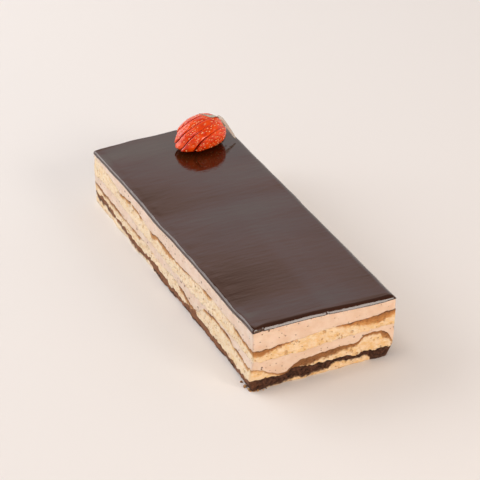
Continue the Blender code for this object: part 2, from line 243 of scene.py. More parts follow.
@dataclass
class Block:
    """The uncut form of the cake: where the faces between its layers run, and how its walls stray."""

    width: float = 85.0
    length: float = 226.0
    thinnest: float = 0.9
    corner_radius: float = 0.8
    step: float = 0.5
    taper: float = 4.6
    taper_height: float = 15.0
    bulge: float = 2.2
    bulge_height: float = 7.0
    bulge_span: float = 7.0
    corner_reach: float = 38.0
    waver: float = 0.45
    waver_along: float = 21.0
    waver_across: float = 18.0
    waver_up: float = 9.0
    warp_depth: float = 16.0
    corner_drop: float = 18.0
    hidden_wave: float = 1.1
    hidden_span: float = 26.0
    swell: float = 0.6
    front: dict[Face, Line] = field(default_factory=lambda: {
        Face.GLAZE_TOP: Line(((0, 38.8), (25, 39.1), (42, 39.0), (55, 38.4), (67, 37.9), (85, 37.6))),
        Face.GLAZE_FOOT: Line(
            ((0, 36.4), (25, 37.0), (42, 36.9), (55, 36.2), (67, 35.6), (76, 35.4), (85, 35.8))
        ),
        Face.UPPER_CREAM_FOOT: Line(
            ((0, 25.2), (8, 24.7), (17, 25.5), (30, 26.0), (42, 27.5), (64, 27.7), (85, 29.4))
        ),
        Face.UPPER_SPONGE_FOOT: Line(
            ((0, 18.0), (10, 17.7), (30, 17.8), (45, 18.9), (65, 19.6), (85, 20.1))
        ),
        Face.LOWER_CREAM_FOOT: Line((
            (0, 13.7), (4, 13.1), (9, 10.6), (13, 8.1), (17, 6.9), (21, 8.2), (26, 10.9), (31, 12.9),
            (43, 13.5), (55, 13.8), (62, 14.4), (67, 17.6), (72, 17.8), (78, 17.0), (81, 14.6), (85, 8.4),
        )),
        Face.LOWER_SPONGE_FOOT: Line((
            (0, 6.7), (11, 6.7), (17, 6.0), (23, 7.8), (28, 8.6), (36, 7.5), (55, 6.8), (61, 5.7),
            (67, 7.0), (75, 5.8), (85, 6.0),
        )),
        Face.GANACHE_FOOT: Line(
            ((0, 2.4), (20, 2.6), (45, 3.2), (50, 5.0), (60, 3.7), (66, 5.1), (73, 2.8), (85, 1.9))
        ),
    })
    left: dict[Face, Line] = field(default_factory=lambda: {
        Face.GLAZE_TOP: Line((
            (0, 38.8), (30, 37.6), (65, 38.1), (100, 37.5), (135, 36.6), (165, 36.9), (200, 36.4),
            (226, 35.2),
        )),
        Face.GLAZE_FOOT: Line((
            (0, 36.4), (35, 35.2), (65, 36.0), (90, 35.5), (120, 34.7), (135, 34.0), (165, 34.7),
            (200, 34.0), (226, 33.0),
        )),
        Face.UPPER_CREAM_FOOT: Line((
            (0, 25.2), (12, 25.5), (24, 27.5), (45, 27.7), (56, 28.6), (75, 27.1), (112, 25.4),
            (126, 26.5), (136, 25.5), (152, 26.9), (170, 29.0), (184, 27.0), (200, 30.4), (226, 31.2),
        )),
        Face.UPPER_SPONGE_FOOT: Line(
            ((0, 18.0), (45, 18.7), (95, 16.8), (130, 17.2), (165, 18.0), (200, 20.2), (226, 19.4))
        ),
        Face.LOWER_CREAM_FOOT: Line((
            (0, 13.7), (6, 12.8), (15, 14.2), (24, 14.3), (33, 16.8), (50, 17.6), (62, 16.2), (68, 12.0),
            (74, 8.0), (82, 8.2), (92, 10.5), (108, 12.0), (125, 10.8), (145, 13.0), (165, 12.3),
            (226, 14.4),
        )),
        Face.LOWER_SPONGE_FOOT: Line((
            (0, 6.7), (8, 4.7), (20, 3.9), (45, 4.7), (70, 4.8), (77, 6.2), (95, 3.9), (108, 3.7),
            (120, 5.6), (133, 6.6), (148, 5.3), (180, 5.9), (212, 8.6), (226, 7.8),
        )),
        Face.GANACHE_FOOT: Line(
            ((0, 2.4), (10, 1.3), (115, 1.3), (130, 1.7), (145, 3.0), (165, 2.4), (180, 4.2), (226, 6.2))
        ),
    })
    back_right: dict[Face, float] = field(default_factory=lambda: {
        Face.GLAZE_TOP: 37.4,
        Face.GLAZE_FOOT: 35.2,
        Face.UPPER_CREAM_FOOT: 28.6,
        Face.UPPER_SPONGE_FOOT: 19.6,
        Face.LOWER_CREAM_FOOT: 13.6,
        Face.LOWER_SPONGE_FOOT: 7.4,
        Face.GANACHE_FOOT: 4.6,
    })
    ragged: dict[Face, tuple[float, float]] = field(default_factory=lambda: {
        Face.GLAZE_TOP: (0.0, 5.0),
        Face.GLAZE_FOOT: (0.10, 4.0),
        Face.UPPER_CREAM_FOOT: (0.65, 2.4),
        Face.UPPER_SPONGE_FOOT: (0.75, 2.2),
        Face.LOWER_CREAM_FOOT: (0.65, 2.4),
        Face.LOWER_SPONGE_FOOT: (1.10, 2.6),
        Face.GANACHE_FOOT: (1.20, 2.8),
    })

    def outline(self) -> Outline:
        """The block's outline with its cut corners just taken off.

        Returns:
            A closed line with a place every step.
        """
        r, turns = self.corner_radius, 3
        corners = ((self.width - r, r, -90), (self.width - r, self.length - r, 0),
                   (r, self.length - r, 90), (r, r, 180))
        x, y, out_x, out_y = [], [], [], []
        before = (r, r, 180)
        for cx, cy, start in corners:
            bx, by, _ = before
            nx, ny = round(math.cos(math.radians(start))), round(math.sin(math.radians(start)))
            count = round(math.hypot(cx - bx, cy - by) / self.step)
            for k in range(count):
                x.append(bx + (cx - bx) * k / count + nx * r)
                y.append(by + (cy - by) * k / count + ny * r)
                out_x.append(nx)
                out_y.append(ny)
            for k in range(turns):
                turn = math.radians(start + 90 * k / turns)
                x.append(cx + r * math.cos(turn))
                y.append(cy + r * math.sin(turn))
                out_x.append(math.cos(turn))
                out_y.append(math.sin(turn))
            before = (cx, cy, start)
        return Outline(*(np.array(a, float) for a in (x, y, out_x, out_y)))

    def drawn_in(self, line: Outline, inset: Array) -> tuple[Array, Array]:
        """The outline drawn in towards the middle, so that its corners never fold.

        Args:
            line: The outline.
            inset: How far each of its places moves inwards; less than 0 is outwards.

        Returns:
            The x and y of its places.
        """
        return (
            line.x - inset * (2 * line.x / self.width - 1),
            line.y - inset * (2 * line.y / self.length - 1),
        )

    def wave(self, face: Face, at: Array, side: float) -> Array:
        """A gentle wave for a side that has none of its own.

        Args:
            face: The face that waves.
            at: Distances along the side.
            side: A number that tells the sides apart.

        Returns:
            The wave's heights.
        """
        calm = 0.25 if face in (Face.GLAZE_TOP, Face.GLAZE_FOOT) else 1.0
        flat = np.full(len(at), face.value * 3.7)
        return self.hidden_wave * calm * perlin(at / self.hidden_span, flat, side)

    def right_height(self, face: Face, y: Array) -> Array:
        """A face's heights along the right side.

        Args:
            face: The face.
            y: Distances from the front.

        Returns:
            The heights.
        """
        share = y / self.length
        first, corner = self.front[face].points[-1][1], self.back_right[face]
        ends = (1 - share) * first + share * corner
        middle = 0.5 * (self.front[face].points[0][1] + corner)
        return ends + ((middle - ends) * self.swell + self.wave(face, y, 1.3)) * np.sin(np.pi * share)

    def back_height(self, face: Face, x: Array) -> Array:
        """A face's heights along the back, climbing from the drooping left corner.

        Args:
            face: The face.
            x: Distances from the left side.

        Returns:
            The heights.
        """
        corner = self.back_right[face]
        drop = (self.left[face].points[-1][1] - corner) * np.exp(-x / self.corner_drop)
        return corner + drop + self.wave(face, x, 8.1) * np.sin(np.pi * x / self.width)

    def smooth_height(self, face: Face, x: Array, y: Array) -> Array:
        """The height of a face, stretched between its lines on the four sides.

        Args:
            face: The face.
            x: Distances from the left side.
            y: Distances from the front.

        Returns:
            The heights.
        """
        x, y = np.clip(x, 0, self.width), np.clip(y, 0, self.length)
        u, v = x / self.width, y / self.length
        far = float(self.back_height(face, np.array([self.width]))[0])
        right = self.right_height(face, y) + v * (far - self.back_right[face])
        corners = (
            (1 - u) * (1 - v) * self.front[face].points[0][1]
            + u * (1 - v) * self.front[face].points[-1][1]
            + (1 - u) * v * self.left[face].points[-1][1]
            + u * v * far
        )
        sides = (1 - u) * self.left[face].at(y) + u * right
        return sides + (1 - v) * self.front[face].at(x) + v * self.back_height(face, x) - corners

    def heights(self, x: Array, y: Array) -> dict[Face, Array]:
        """The heights of all faces at many places, with their fine raggedness.

        Args:
            x: Distances from the left side.
            y: Distances from the front.

        Returns:
            For each face its heights, every layer at least as thick as the thinnest.
        """
        found = {Face.GROUND: np.zeros(len(x))}
        places = np.stack((x, y, np.zeros(len(x))), axis=1)
        for face in (f for f in reversed(Face) if f is not Face.GROUND):
            amount, size = self.ragged[face]
            fine = amount * rough(places, (size, size * 0.4), 40 + face.value)
            below = found[Face(face.value + 1)]
            found[face] = np.maximum(self.smooth_height(face, x, y) + fine, below + self.thinnest)
        return found

    def strayed(self, x: Array, y: Array, z: Array) -> tuple[Array, Array]:
        """Places of the upright block, moved as its walls stray from upright.

        Args:
            x: Distances from the left side.
            y: Distances from the front.
            z: Heights.

        Returns:
            The moved distances from the left side and from the front.
        """
        near_left = np.maximum(0.0, 1 - x / self.warp_depth)
        near_right = np.maximum(0.0, 1 - (self.width - x) / self.warp_depth)
        near_front = np.maximum(0.0, 1 - y / self.warp_depth)
        fade = np.maximum(0.0, 1 - y / self.corner_reach) ** 2
        waver = self.waver * perlin(y / self.waver_along, z / self.waver_up, 4.4)
        taper = self.taper * np.maximum(0.0, 1 - z / self.taper_height) ** 2 * fade
        bulge = self.bulge * np.exp(-(((z - self.bulge_height) / self.bulge_span) ** 2)) * fade
        moved_x = x + near_left * (waver - bulge) - near_right * (taper + waver)
        moved_y = y + near_front * self.waver * perlin(x / self.waver_across, z / self.waver_up, 7.9)
        return moved_x, moved_y

    def placed(self, x: Array, y: Array, z: Array) -> Array:
        """Points in millimetres from the front left corner, in metres from the origin."""
        return np.stack((x - self.width / 2, y - self.length / 2, z), axis=1) * MM


# ---------------------------------------------------------------- meshes


@dataclass
class Form:
    """The points, faces and painted values of a mesh while it is being put together."""

    points: list[Array] = field(default_factory=list)
    faces: list[tuple[int, ...]] = field(default_factory=list)
    values: dict[str, list[Array]] = field(default_factory=dict)
    count: int = 0

    def add(self, points: Array, faces: Iterable[Sequence[int]], **values: Array) -> int:
        """Adds points with their faces and values.

        Args:
            points: Places in metres, one row for each.
            faces: Faces as places in the added points.
            **values: One value for each added point, by name; every call names the same ones.

        Returns:
            The number of the first added point.
        """
        first = self.count
        self.points.append(points)
        self.faces.extend(tuple(int(first + k) for k in face) for face in faces)
        for name, painted in values.items():
            self.values.setdefault(name, []).append(painted)
        self.count += len(points)
        return first

    def piece(
        self, name: str, material: bpy.types.Material, smooth: bool = True, weld: float = 0.0
    ) -> bpy.types.Object:
        """Makes the object.

        Args:
            name: The piece's name.
            material: What it is made of.
            smooth: Whether its faces are shaded smooth.
            weld: Where set, points nearer than this are made one, and all faces are turned outwards.

        Returns:
            The new object, in the scene.
        """
        mesh = bpy.data.meshes.new(name)
        mesh.from_pydata(np.concatenate(self.points).tolist(), [], self.faces)
        mesh.polygons.foreach_set("use_smooth", [smooth] * len(mesh.polygons))
        for key, painted in self.values.items():
            mesh.attributes.new(key, "FLOAT", "POINT").data.foreach_set(
                "value", np.concatenate(painted).astype(np.float32)
            )
        if weld:
            bm = bmesh.new()
            bm.from_mesh(mesh)
            bmesh.ops.remove_doubles(bm, verts=bm.verts, dist=weld)
            bmesh.ops.recalc_face_normals(bm, faces=bm.faces)
            bm.to_mesh(mesh)
            bm.free()
        mesh.materials.append(material)
        mesh.update()
        made = bpy.data.objects.new(name, mesh)
        bpy.context.scene.collection.objects.link(made)
        return made


def band(rows: int, columns: int) -> list[tuple[int, int, int, int]]:
    """The faces of a closed band of rows that each go once round, from the lowest up.

    Args:
        rows: How many rows of points the band has.
        columns: How many points a row has.

    Returns:
        The faces, facing outwards where the rows go counter-clockwise.
    """
    found = []
    for j in range(rows - 1):
        for i in range(columns):
            k = (i + 1) % columns
            found.append((j * columns + i, j * columns + k, (j + 1) * columns + k, (j + 1) * columns + i))
    return found


def cap(
    block: "Block", line: Outline, inset: float, spacing: float, upward: bool
) -> tuple[Array, Array, list[tuple[int, int, int]]]:
    """Triangles that fill the outline of the block, drawn in, through a grid of places inside it.

    Args:
        block: The block.
        line: Its outline.
        inset: How far the outline is drawn in.
        spacing: Distance between the places inside.
        upward: Whether the faces face up.

    Returns:
        The x and y of the places inside, and the triangles, which number the outline's points first.
    """
    edge_x, edge_y = block.drawn_in(line, np.full(len(line.x), inset))
    margin = inset + spacing * 0.6
    across, along = (max(2, round(side / spacing)) for side in (block.width, block.length))
    grid_x, grid_y = np.meshgrid(
        np.linspace(margin, block.width - margin, across), np.linspace(margin, block.length - margin, along)
    )
    inner_x, inner_y = grid_x.ravel(), grid_y.ravel()
    flat = [Vector(place) for place in zip(np.append(edge_x, inner_x), np.append(edge_y, inner_y))]
    edges = [(k, (k + 1) % len(edge_x)) for k in range(len(edge_x))]
    _, _, faces, origins, _, _ = delaunay_2d_cdt(flat, edges, [], 1, 1e-6)
    turned = []
    for face in faces:
        a, b, c = (origins[v][0] for v in face)
        left = (flat[b] - flat[a]).cross(flat[c] - flat[a]) > 0
        turned.append((a, b, c) if left == upward else (a, c, b))
    return inner_x, inner_y, turned


def ready(piece: bpy.types.Object, slot: Slot, *nodes: str) -> bpy.types.Object:
    """Hangs a finished piece on the cake's one body and hides the solids that it replaces.

    Args:
        piece: The piece, in place.
        slot: The material slot; not used.
        *nodes: The solids that it replaces.

    Returns:
        The piece.
    """
    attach(piece, "root")
    if nodes:
        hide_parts(*nodes)
    log.info("%s: %d faces", piece.name, len(piece.data.polygons))
    return piece


# ---------------------------------------------------------------- shader sums


class Socket:
    """An output of a shader node that takes part in sums."""

    def __init__(self, owner: "Tree", output: bpy.types.NodeSocket) -> None:
        """Holds the output and the nodes that it belongs to."""
        self.owner = owner
        self.output = output

    def _sum(self, operation: str, *terms: "Socket | float") -> "Socket":
        """A Math node on this value and others."""
        return self.owner.node("ShaderNodeMath", {"operation": operation}, dict(enumerate(terms)))

    def __add__(self, other: "Socket | float") -> "Socket":
        """The sum."""
        return self._sum("ADD", self, other)

    __radd__ = __add__

    def __sub__(self, other: "Socket | float") -> "Socket":
        """The difference."""
        return self._sum("SUBTRACT", self, other)

    def __rsub__(self, other: float) -> "Socket":
        """The difference, from a number."""
        return self._sum("SUBTRACT", other, self)

    def __mul__(self, other: "Socket | float") -> "Socket":
        """The product."""
        return self._sum("MULTIPLY", self, other)

    __rmul__ = __mul__

    def __truediv__(self, other: "Socket | float") -> "Socket":
        """The quotient."""
        return self._sum("DIVIDE", self, other)

    def __rtruediv__(self, other: float) -> "Socket":
        """The quotient, of a number."""
        return self._sum("DIVIDE", other, self)

    def __pow__(self, other: "Socket | float") -> "Socket":
        """The power."""
        return self._sum("POWER", self, other)

    def most(self, other: "Socket | float") -> "Socket":
        """The larger of two values."""
        return self._sum("MAXIMUM", self, other)

    def step(self, low: "Socket | float", high: "Socket | float") -> "Socket":
        """Eases from 0 at the low value to 1 at the high one.

        Args:
            low: Where it leaves 0.
            high: Where it reaches 1.

        Returns:
            The eased value.
        """
        settings = {"interpolation_type": "SMOOTHSTEP"}
        return self.owner.node(
            "ShaderNodeMapRange", settings, {"Value": self, "From Min": low, "From Max": high}, "Result"
        )

    def blend(self, zero: "Socket | Colour", one: "Socket | Colour") -> "Socket":
        """Mixes two colours by this value.

        Args:
            zero: The colour where the value is 0.
            one: The colour where it is 1.

        Returns:
            The mixed colour.
        """
        settings = {"data_type": "RGBA", "clamp_factor": True}
        return self.owner.node("ShaderNodeMix", settings, {0: self, 6: zero, 7: one}, 2)


class Tree:
    """Adds nodes to a node tree."""

    def __init__(self, tree: bpy.types.NodeTree) -> None:
        """Holds the tree."""
        self.tree = tree

    def node(
        self,
        kind: str,
        settings: dict[str, Any] | None = None,
        values: dict[str | int, Any] | None = None,
        output: str | int = 0,
    ) -> Socket:
        """Adds a node.

        Args:
            kind: The node's type.
            settings: Its own settings, set first; "stops" gives a ramp's (place, colour) stops.
            values: A number, a colour or a link for each named or numbered socket.
            output: Which output to return.

        Returns:
            The output.
        """
        made = self.tree.nodes.new(kind)
        for key, value in (settings or {}).items():
            if key == "stops":
                for k, (place, colour) in enumerate(value):
                    stop = made.color_ramp.elements[k] if k < 2 else made.color_ramp.elements.new(place)
                    stop.position = place
                    stop.color = (*colour, 1)
            else:
                setattr(made, key, value)
        for key, value in (values or {}).items():
            self.feed(made.inputs[key], value)
        return Socket(self, made.outputs[output])

    def feed(self, socket: bpy.types.NodeSocket, value: Any) -> None:
        """Links or sets one input.

        Args:
            socket: The input.
            value: A link, a number, or a colour or vector of three numbers.
        """
        if isinstance(value, Socket):
            self.tree.links.new(value.output, socket)
        elif isinstance(value, tuple) and socket.type == "RGBA":
            socket.default_value = (*value, 1)
        else:
            socket.default_value = value


class Nodes(Tree):
    """Builds the nodes of one material."""

    def __init__(self, name: str) -> None:
        """Starts a material with one Principled shader."""
        self.material = bpy.data.materials.new(name)
        self.material.use_nodes = True
        super().__init__(self.material.node_tree)
        self.shader = self.tree.nodes["Principled BSDF"]

    def surface(self, **values: Any) -> bpy.types.Material:
        """Feeds the Principled shader and returns the material.

        Args:
            **values: A value for each of its sockets, with _ for each space of the name.

        Returns:
            The finished material.
        """
        for key, value in values.items():
            self.feed(self.shader.inputs[key.replace("_", " ")], value)
        return self.material

    def place(self, stretch: tuple[float, float, float] = (1, 1, 1)) -> Socket:
        """The place on the object in millimetres, stretched along its axes."""
        at = self.node("ShaderNodeTexCoord", output="Object")
        scale = tuple(s / MM for s in stretch)
        return self.node("ShaderNodeVectorMath", {"operation": "MULTIPLY"}, {0: at, 1: scale})

    def painted(self, name: str) -> Socket:
        """A value painted on the mesh."""
        return self.node("ShaderNodeAttribute", {"attribute_name": name}, output="Fac")

    def grain(self, at: Socket, size: float, detail: float = 2.0, lively: float = 0.5) -> Socket:
        """Soft noise from 0 to 1.

        Args:
            at: Where it is read.
            size: Width of its lumps in millimetres.
            detail: How many finer octaves it has.
            lively: How strong those are.

        Returns:
            The noise.
        """
        values = {"Vector": at, "Scale": 1 / size, "Detail": detail, "Roughness": lively}
        return self.node("ShaderNodeTexNoise", None, values)

    def cells(self, at: Socket, size: float, output: str = "Distance") -> Socket:
        """The distance to the nearest of scattered points, in cells, or that point's own colour."""
        return self.node("ShaderNodeTexVoronoi", None, {"Vector": at, "Scale": 1 / size}, output)

    def dots(self, at: Socket, size: float, radius: float, share: float) -> Socket:
        """Sparse round dots, 1 inside and 0 outside.

        Args:
            at: Where they are read.
            size: Mean distance in millimetres between the places that could hold one.
            radius: The largest dot's radius in millimetres.
            share: How many of those places hold one.

        Returns:
            The dots.
        """
        own = self.cells(at, size, "Color")
        chance, girth = (self.node("ShaderNodeSeparateColor", None, {0: own}, k) for k in (0, 1))
        held = chance.step(1 - share, 1 - share + 0.02)
        reach = radius / size * held * (0.4 + 0.6 * girth)
        return 1 - self.cells(at, size).step(reach * 0.6, reach + 0.001)

    def bump(self, height: Socket, depth: float, under: Socket | None = None) -> Socket:
        """A normal bent by a height.

        Args:
            height: The height, 0 to 1.
            depth: What 1 stands for, in millimetres.
            under: A normal that is already bent.

        Returns:
            The normal.
        """
        values: dict[str | int, Any] = {"Height": height, "Distance": depth * MM, "Strength": 1.0}
        if under is not None:
            values["Normal"] = under
        return self.node("ShaderNodeBump", None, values)


# ---------------------------------------------------------------- finishes


@dataclass(frozen=True)
class GlazeFinish:
    """Poured chocolate glaze: a mirror with faint strokes of the palette knife across it."""

    dark: Colour = (0.030, 0.0080, 0.0020)
    light: Colour = (0.037, 0.0100, 0.0026)
    roughness: float = 0.06
    stroke_depth: float = 0.07
    speck_depth: float = 0.05

    def material(self) -> bpy.types.Material:
        """Builds the material.

        Returns:
            The material.
        """
        n = Nodes("chocolate mirror glaze")
        strokes = n.grain(n.place((0.18, 1, 1)), 2.3, 3, 0.6)
        clouds = n.grain(n.place((0.5, 1, 1)), 24, 2)
        specks = n.dots(n.place(), 9.0, 0.5, 0.35)
        colour = clouds.step(0.3, 0.7).blend(self.dark, self.light)
        gloss = self.roughness + 0.05 * strokes.step(0.45, 0.75) * clouds.step(0.35, 0.65)
        normal = n.bump(strokes, self.stroke_depth)
        normal = n.bump(specks, self.speck_depth, normal)
        return n.surface(Base_Color=colour, Roughness=gloss, IOR=1.5, Normal=normal)


@dataclass(frozen=True)
class CreamFinish:
    """Coffee buttercream cut with a knife: satin, with small pinholes darkened by painted shade."""

    name: str
    pale: Colour = (0.700, 0.570, 0.475)
    deep: Colour = (0.640, 0.480, 0.370)
    # The painted shade in the pinholes.
    pinhole_shade: Colour = (0.085, 0.032, 0.016)
    roughness: float = 0.45

    def material(self) -> bpy.types.Material:
        """Builds the material.

        Returns:
            The material.
        """
        n = Nodes(self.name)
        at = n.place()
        drags = n.grain(n.place((0.25, 0.25, 1)), 1.6, 3, 0.6)
        clouds = n.grain(at, 7, 3, 0.6)
        speckle = n.grain(at, 0.8, 2, 0.6)
        crowd = n.grain(at, 11, 1).step(0.4, 0.6)
        marks = n.dots(at, 4.6, 0.95, 0.40).most((0.35 + 0.6 * crowd) * n.dots(at, 1.9, 0.50, 0.5))
        colour = clouds.step(0.3, 0.7).blend(self.deep, self.pale)
        colour = (drags.step(0.58, 0.8) * 0.45).blend(colour, self.deep)
        colour = (speckle.step(0.6, 0.8) * 0.3).blend(colour, self.deep)
        # Painted shade: the pinholes are darkened nearly to black.
        colour = (marks * 0.85).blend(colour, self.pinhole_shade)
        normal = n.bump(drags, 0.12)
        normal = n.bump(1 - marks, 0.4, normal)
        rough_at = self.roughness + 0.12 * clouds
        return n.surface(
            Base_Color=colour, Roughness=rough_at, Normal=normal, Specular_IOR_Level=0.35,
            Subsurface_Weight=0.12, Subsurface_Radius=(1.0, 0.5, 0.25), Subsurface_Scale=0.002,
        )


@dataclass(frozen=True)
class SpongeFinish:
    """Almond sponge: a fine golden crumb with pores darkened by painted shade, its upper side soaked brown
    with coffee.
    """

    name: str
    pale: Colour = (0.79, 0.66, 0.49)
    gold: Colour = (0.72, 0.495, 0.24)
    # The painted shade in the pores.
    pore_shade: Colour = (0.50, 0.245, 0.085)
    toffee: Colour = (0.57, 0.295, 0.10)
    soaked: Colour = (0.38, 0.165, 0.045)
    edge: Colour = (0.13, 0.055, 0.024)

    def material(self) -> bpy.types.Material:
        """Builds the material.

        Returns:
            The material.
        """
        n = Nodes(self.name)
        at = n.place()
        below, soak = n.painted("below"), n.painted("soak")
        strength, golden = n.painted("strength"), n.painted("golden")
        crumb = n.grain(at, 1.0, 4, 0.7)
        clouds = n.grain(n.place((0.7, 0.7, 1)), 2.6, 4, 0.7)
        pores = n.dots(at, 1.5, 0.62, 0.40).most(0.8 * n.dots(at, 3.3, 1.25, 0.26))
        colour = (golden + (clouds - 0.5) * 3.0).step(0.0, 1.0).blend(self.pale, self.gold)
        colour = (crumb.step(0.5, 0.7) * 0.6).blend(colour, self.gold)
        # Painted shade: the pores are darkened.
        colour = (pores * 0.65).blend(colour, self.pore_shade)
        reach = below + (n.grain(n.place((0.6, 0.6, 1)), 1.9, 3, 0.7) - 0.5) * 3.4
        wet = 1 - reach.step(soak - 0.9, soak + 0.9)
        wet = wet * (strength + (clouds - 0.5) * 1.6 * (1.15 - strength)).step(0.15, 0.85)
        share = below / soak.most(0.3) + (clouds - 0.5) * 1.6
        dark = n.painted("dark")
        brown = (share + dark * 0.3).step(-0.1, 0.35).blend(self.edge, self.soaked)
        brown = (share.step(0.3, 1.1) * (1 - dark)).blend(brown, self.toffee)
        brown = (dark * (0.75 + 1.2 * (clouds - 0.5))).blend(brown, self.edge)
        colour = wet.blend(colour, brown)
        normal = n.bump(crumb, 0.55)
        normal = n.bump(1 - pores, 0.7, normal)
        return n.surface(
            Base_Color=colour, Roughness=0.85 - 0.3 * wet, Normal=normal, Specular_IOR_Level=0.3,
            Subsurface_Weight=0.08, Subsurface_Radius=(1.0, 0.45, 0.2), Subsurface_Scale=0.0015,
        )


@dataclass(frozen=True)
class GanacheFinish:
    """Set dark ganache: crumbly where the knife has torn it, with painted light along the left side and
    painted shade in its holes.
    """

    dark: Colour = (0.022, 0.0075, 0.0038)
    light: Colour = (0.092, 0.040, 0.024)
    # The painted shade in the holes of the ganache.
    torn: Colour = (0.005, 0.002, 0.0012)
    # Painted light: the lighter colour that stands for light falling on the ganache, most along the left
    # side.
    painted_lit: Colour = (0.24, 0.098, 0.046)

    def material(self) -> bpy.types.Material:
        """Builds the material.

        Returns:
            The material.
        """
        n = Nodes("dark ganache")
        at = n.place()
        lumps = n.grain(at, 1.7, 4, 0.7)
        holes = n.dots(at, 2.6, 1.3, 0.4)
        colour = lumps.step(0.36, 0.68).blend(self.dark, self.light)
        # Painted shade: the holes are darkened nearly to black.
        colour = (holes * 0.85).blend(colour, self.torn)
        # Painted light: the share painted on each side lightens the ganache, most along the left side.
        colour = (n.painted("golden") * (0.6 + 0.8 * lumps)).blend(colour, self.painted_lit)
        normal = n.bump(lumps, 0.8)
        normal = n.bump(1 - holes, 0.8, normal)
        return n.surface(
            Base_Color=colour, Roughness=0.5 + 0.2 * lumps, Normal=normal, Specular_IOR_Level=0.15
        )


@dataclass(frozen=True)
class BerrySkinFinish:
    """Moist strawberry skin, orange-red, with painted shade in its seed dimples, and the wet flesh of the
    cuts.
    """

    bright: Colour = (0.80, 0.076, 0.003)
    deep: Colour = (0.62, 0.031, 0.002)
    flesh: Colour = (0.50, 0.022, 0.003)

    def material(self) -> bpy.types.Material:
        """Builds the material.

        Returns:
            The material.
        """
        n = Nodes("strawberry skin")
        at = n.place()
        clouds = n.grain(at, 5.0, 3, 0.55)
        fine = n.grain(at, 0.7, 3, 0.6)
        colour = clouds.step(0.35, 0.65).blend(self.deep, self.bright)
        # Painted shade: the skin is darkened in the seed dimples.
        colour = (n.painted("dimple") * 0.6).blend(colour, self.deep)
        colour = n.painted("cut").blend(colour, self.flesh)
        normal = n.bump(fine, 0.05)
        return n.surface(
            Base_Color=colour, Roughness=0.16 + 0.2 * n.painted("cut") + 0.08 * clouds, Normal=normal,
            IOR=1.42, Specular_IOR_Level=0.2, Coat_Weight=0.4, Coat_Roughness=0.1,
            Subsurface_Weight=0.1, Subsurface_Radius=(1.0, 0.15, 0.03), Subsurface_Scale=0.0015,
        )


@dataclass(frozen=True)
class SeedFinish:
    """Strawberry seeds: pale straw, shiny with juice."""

    straw: Colour = (0.92, 0.46, 0.22)
    brown: Colour = (0.86, 0.28, 0.09)

    def material(self) -> bpy.types.Material:
        """Builds the material.

        Returns:
            The material.
        """
        n = Nodes("strawberry seeds")
        colour = n.grain(n.place(), 2.5, 1).step(0.35, 0.65).blend(self.straw, self.brown)
        normal = n.bump(n.grain(n.place(), 0.3, 2), 0.04)
        return n.surface(Base_Color=colour, Roughness=0.22, Normal=normal)


@dataclass(frozen=True)
class LeafFinish:
    """Drying sepals: grey-green above and veined along their length; the long one is nearly white, partly
    its own pale colour and partly a painted reflection of the bright backlight.
    """

    green: Colour = (0.15, 0.16, 0.06)
    dry: Colour = (0.34, 0.33, 0.18)
    # The near-white of the long sepal: partly its own colour, partly a painted reflection of the bright
    # backlight.
    pale: Colour = (0.72, 0.71, 0.66)
    brown: Colour = (0.085, 0.06, 0.035)

    def material(self) -> bpy.types.Material:
        """Builds the material.

        Returns:
            The material.
        """
        n = Nodes("strawberry leaf")
        clouds = n.grain(n.place(), 2.2, 3)
        colour = clouds.step(0.35, 0.7).blend(self.green, self.dry)
        # The pale share: partly the sepals' own pale colour, partly a painted reflection, strongest on the
        # long sepal.
        colour = n.painted("pale").blend(colour, self.pale)
        rim = n.painted("rim").step(0.66, 1.0)
        colour = (rim * 0.8).blend(colour, self.brown)
        veins = n.painted("vein")
        colour = (veins * 0.3).blend(colour, self.pale)
        normal = n.bump(veins, 0.2)
        normal = n.bump(n.grain(n.place(), 0.5, 2), 0.08, normal)
        return n.surface(Base_Color=colour, Roughness=0.6, Normal=normal)


@dataclass(frozen=True)
class CrumbFinish:
    """Loose crumbs, golden and coffee brown."""

    gold: Colour = (0.62, 0.37, 0.15)
    brown: Colour = (0.20, 0.08, 0.03)

    def material(self) -> bpy.types.Material:
        """Builds the material.

        Returns:
            The material.
        """
        n = Nodes("crumbs")
        colour = n.grain(n.place(), 2.0, 2).step(0.4, 0.6).blend(self.gold, self.brown)
        return n.surface(Base_Color=colour, Roughness=0.9, Normal=n.bump(n.grain(n.place(), 0.4, 3), 0.3))


@dataclass(frozen=True)
class FloorFinish:
    """Smooth pale paper."""

    tone: Colour = (0.805, 0.785, 0.765)

    def material(self) -> bpy.types.Material:
        """Builds the material."""
        return Nodes("pale paper").surface(Base_Color=self.tone, Roughness=0.9, Specular_IOR_Level=0.1)


# ---------------------------------------------------------------- layers


@dataclass(frozen=True)
class Soak:
    """How far the coffee reaches into a sponge from its upper face: (place, depth, strength, darkness)."""

    front: Points
    left: Points
    hidden_depth: float = 1.5
    hidden_dark: float = 0.0

    def at(self, block: Block, line: Outline, seed: int) -> tuple[Array, Array, Array]:
        """The soaked depth, its strength and its darkness round the block.

        Args:
            block: The block.
            line: The line round it.
            seed: Picks the pattern of the sides that have no places of their own.

        Returns:
            Three values for each place on the line.
        """
        share = line.shares(HANDOVER, block.width, block.length)
        places = np.stack((line.x, line.y, np.zeros(len(line.x))), axis=1)
        wander = rough(places, (26.0, 9.0), seed)
        hidden = (
            np.maximum(0, self.hidden_depth * (1 + 1.3 * wander)),
            np.clip(0.65 + 0.9 * rough(places, (18.0, 6.0), seed + 3), 0, 1),
            np.full(len(line.x), self.hidden_dark),
        )
        found = []
        for k in range(3):
            front = Line(tuple((p[0], p[k + 1]) for p in self.front)).at(line.x)
            left = Line(tuple((p[0], p[k + 1]) for p in self.left)).at(line.y)
            unseen = (share["right"] + share["back"]) * hidden[k]
            found.append(share["front"] * front + share["left"] * left + unseen)
        return found[0], found[1], found[2]


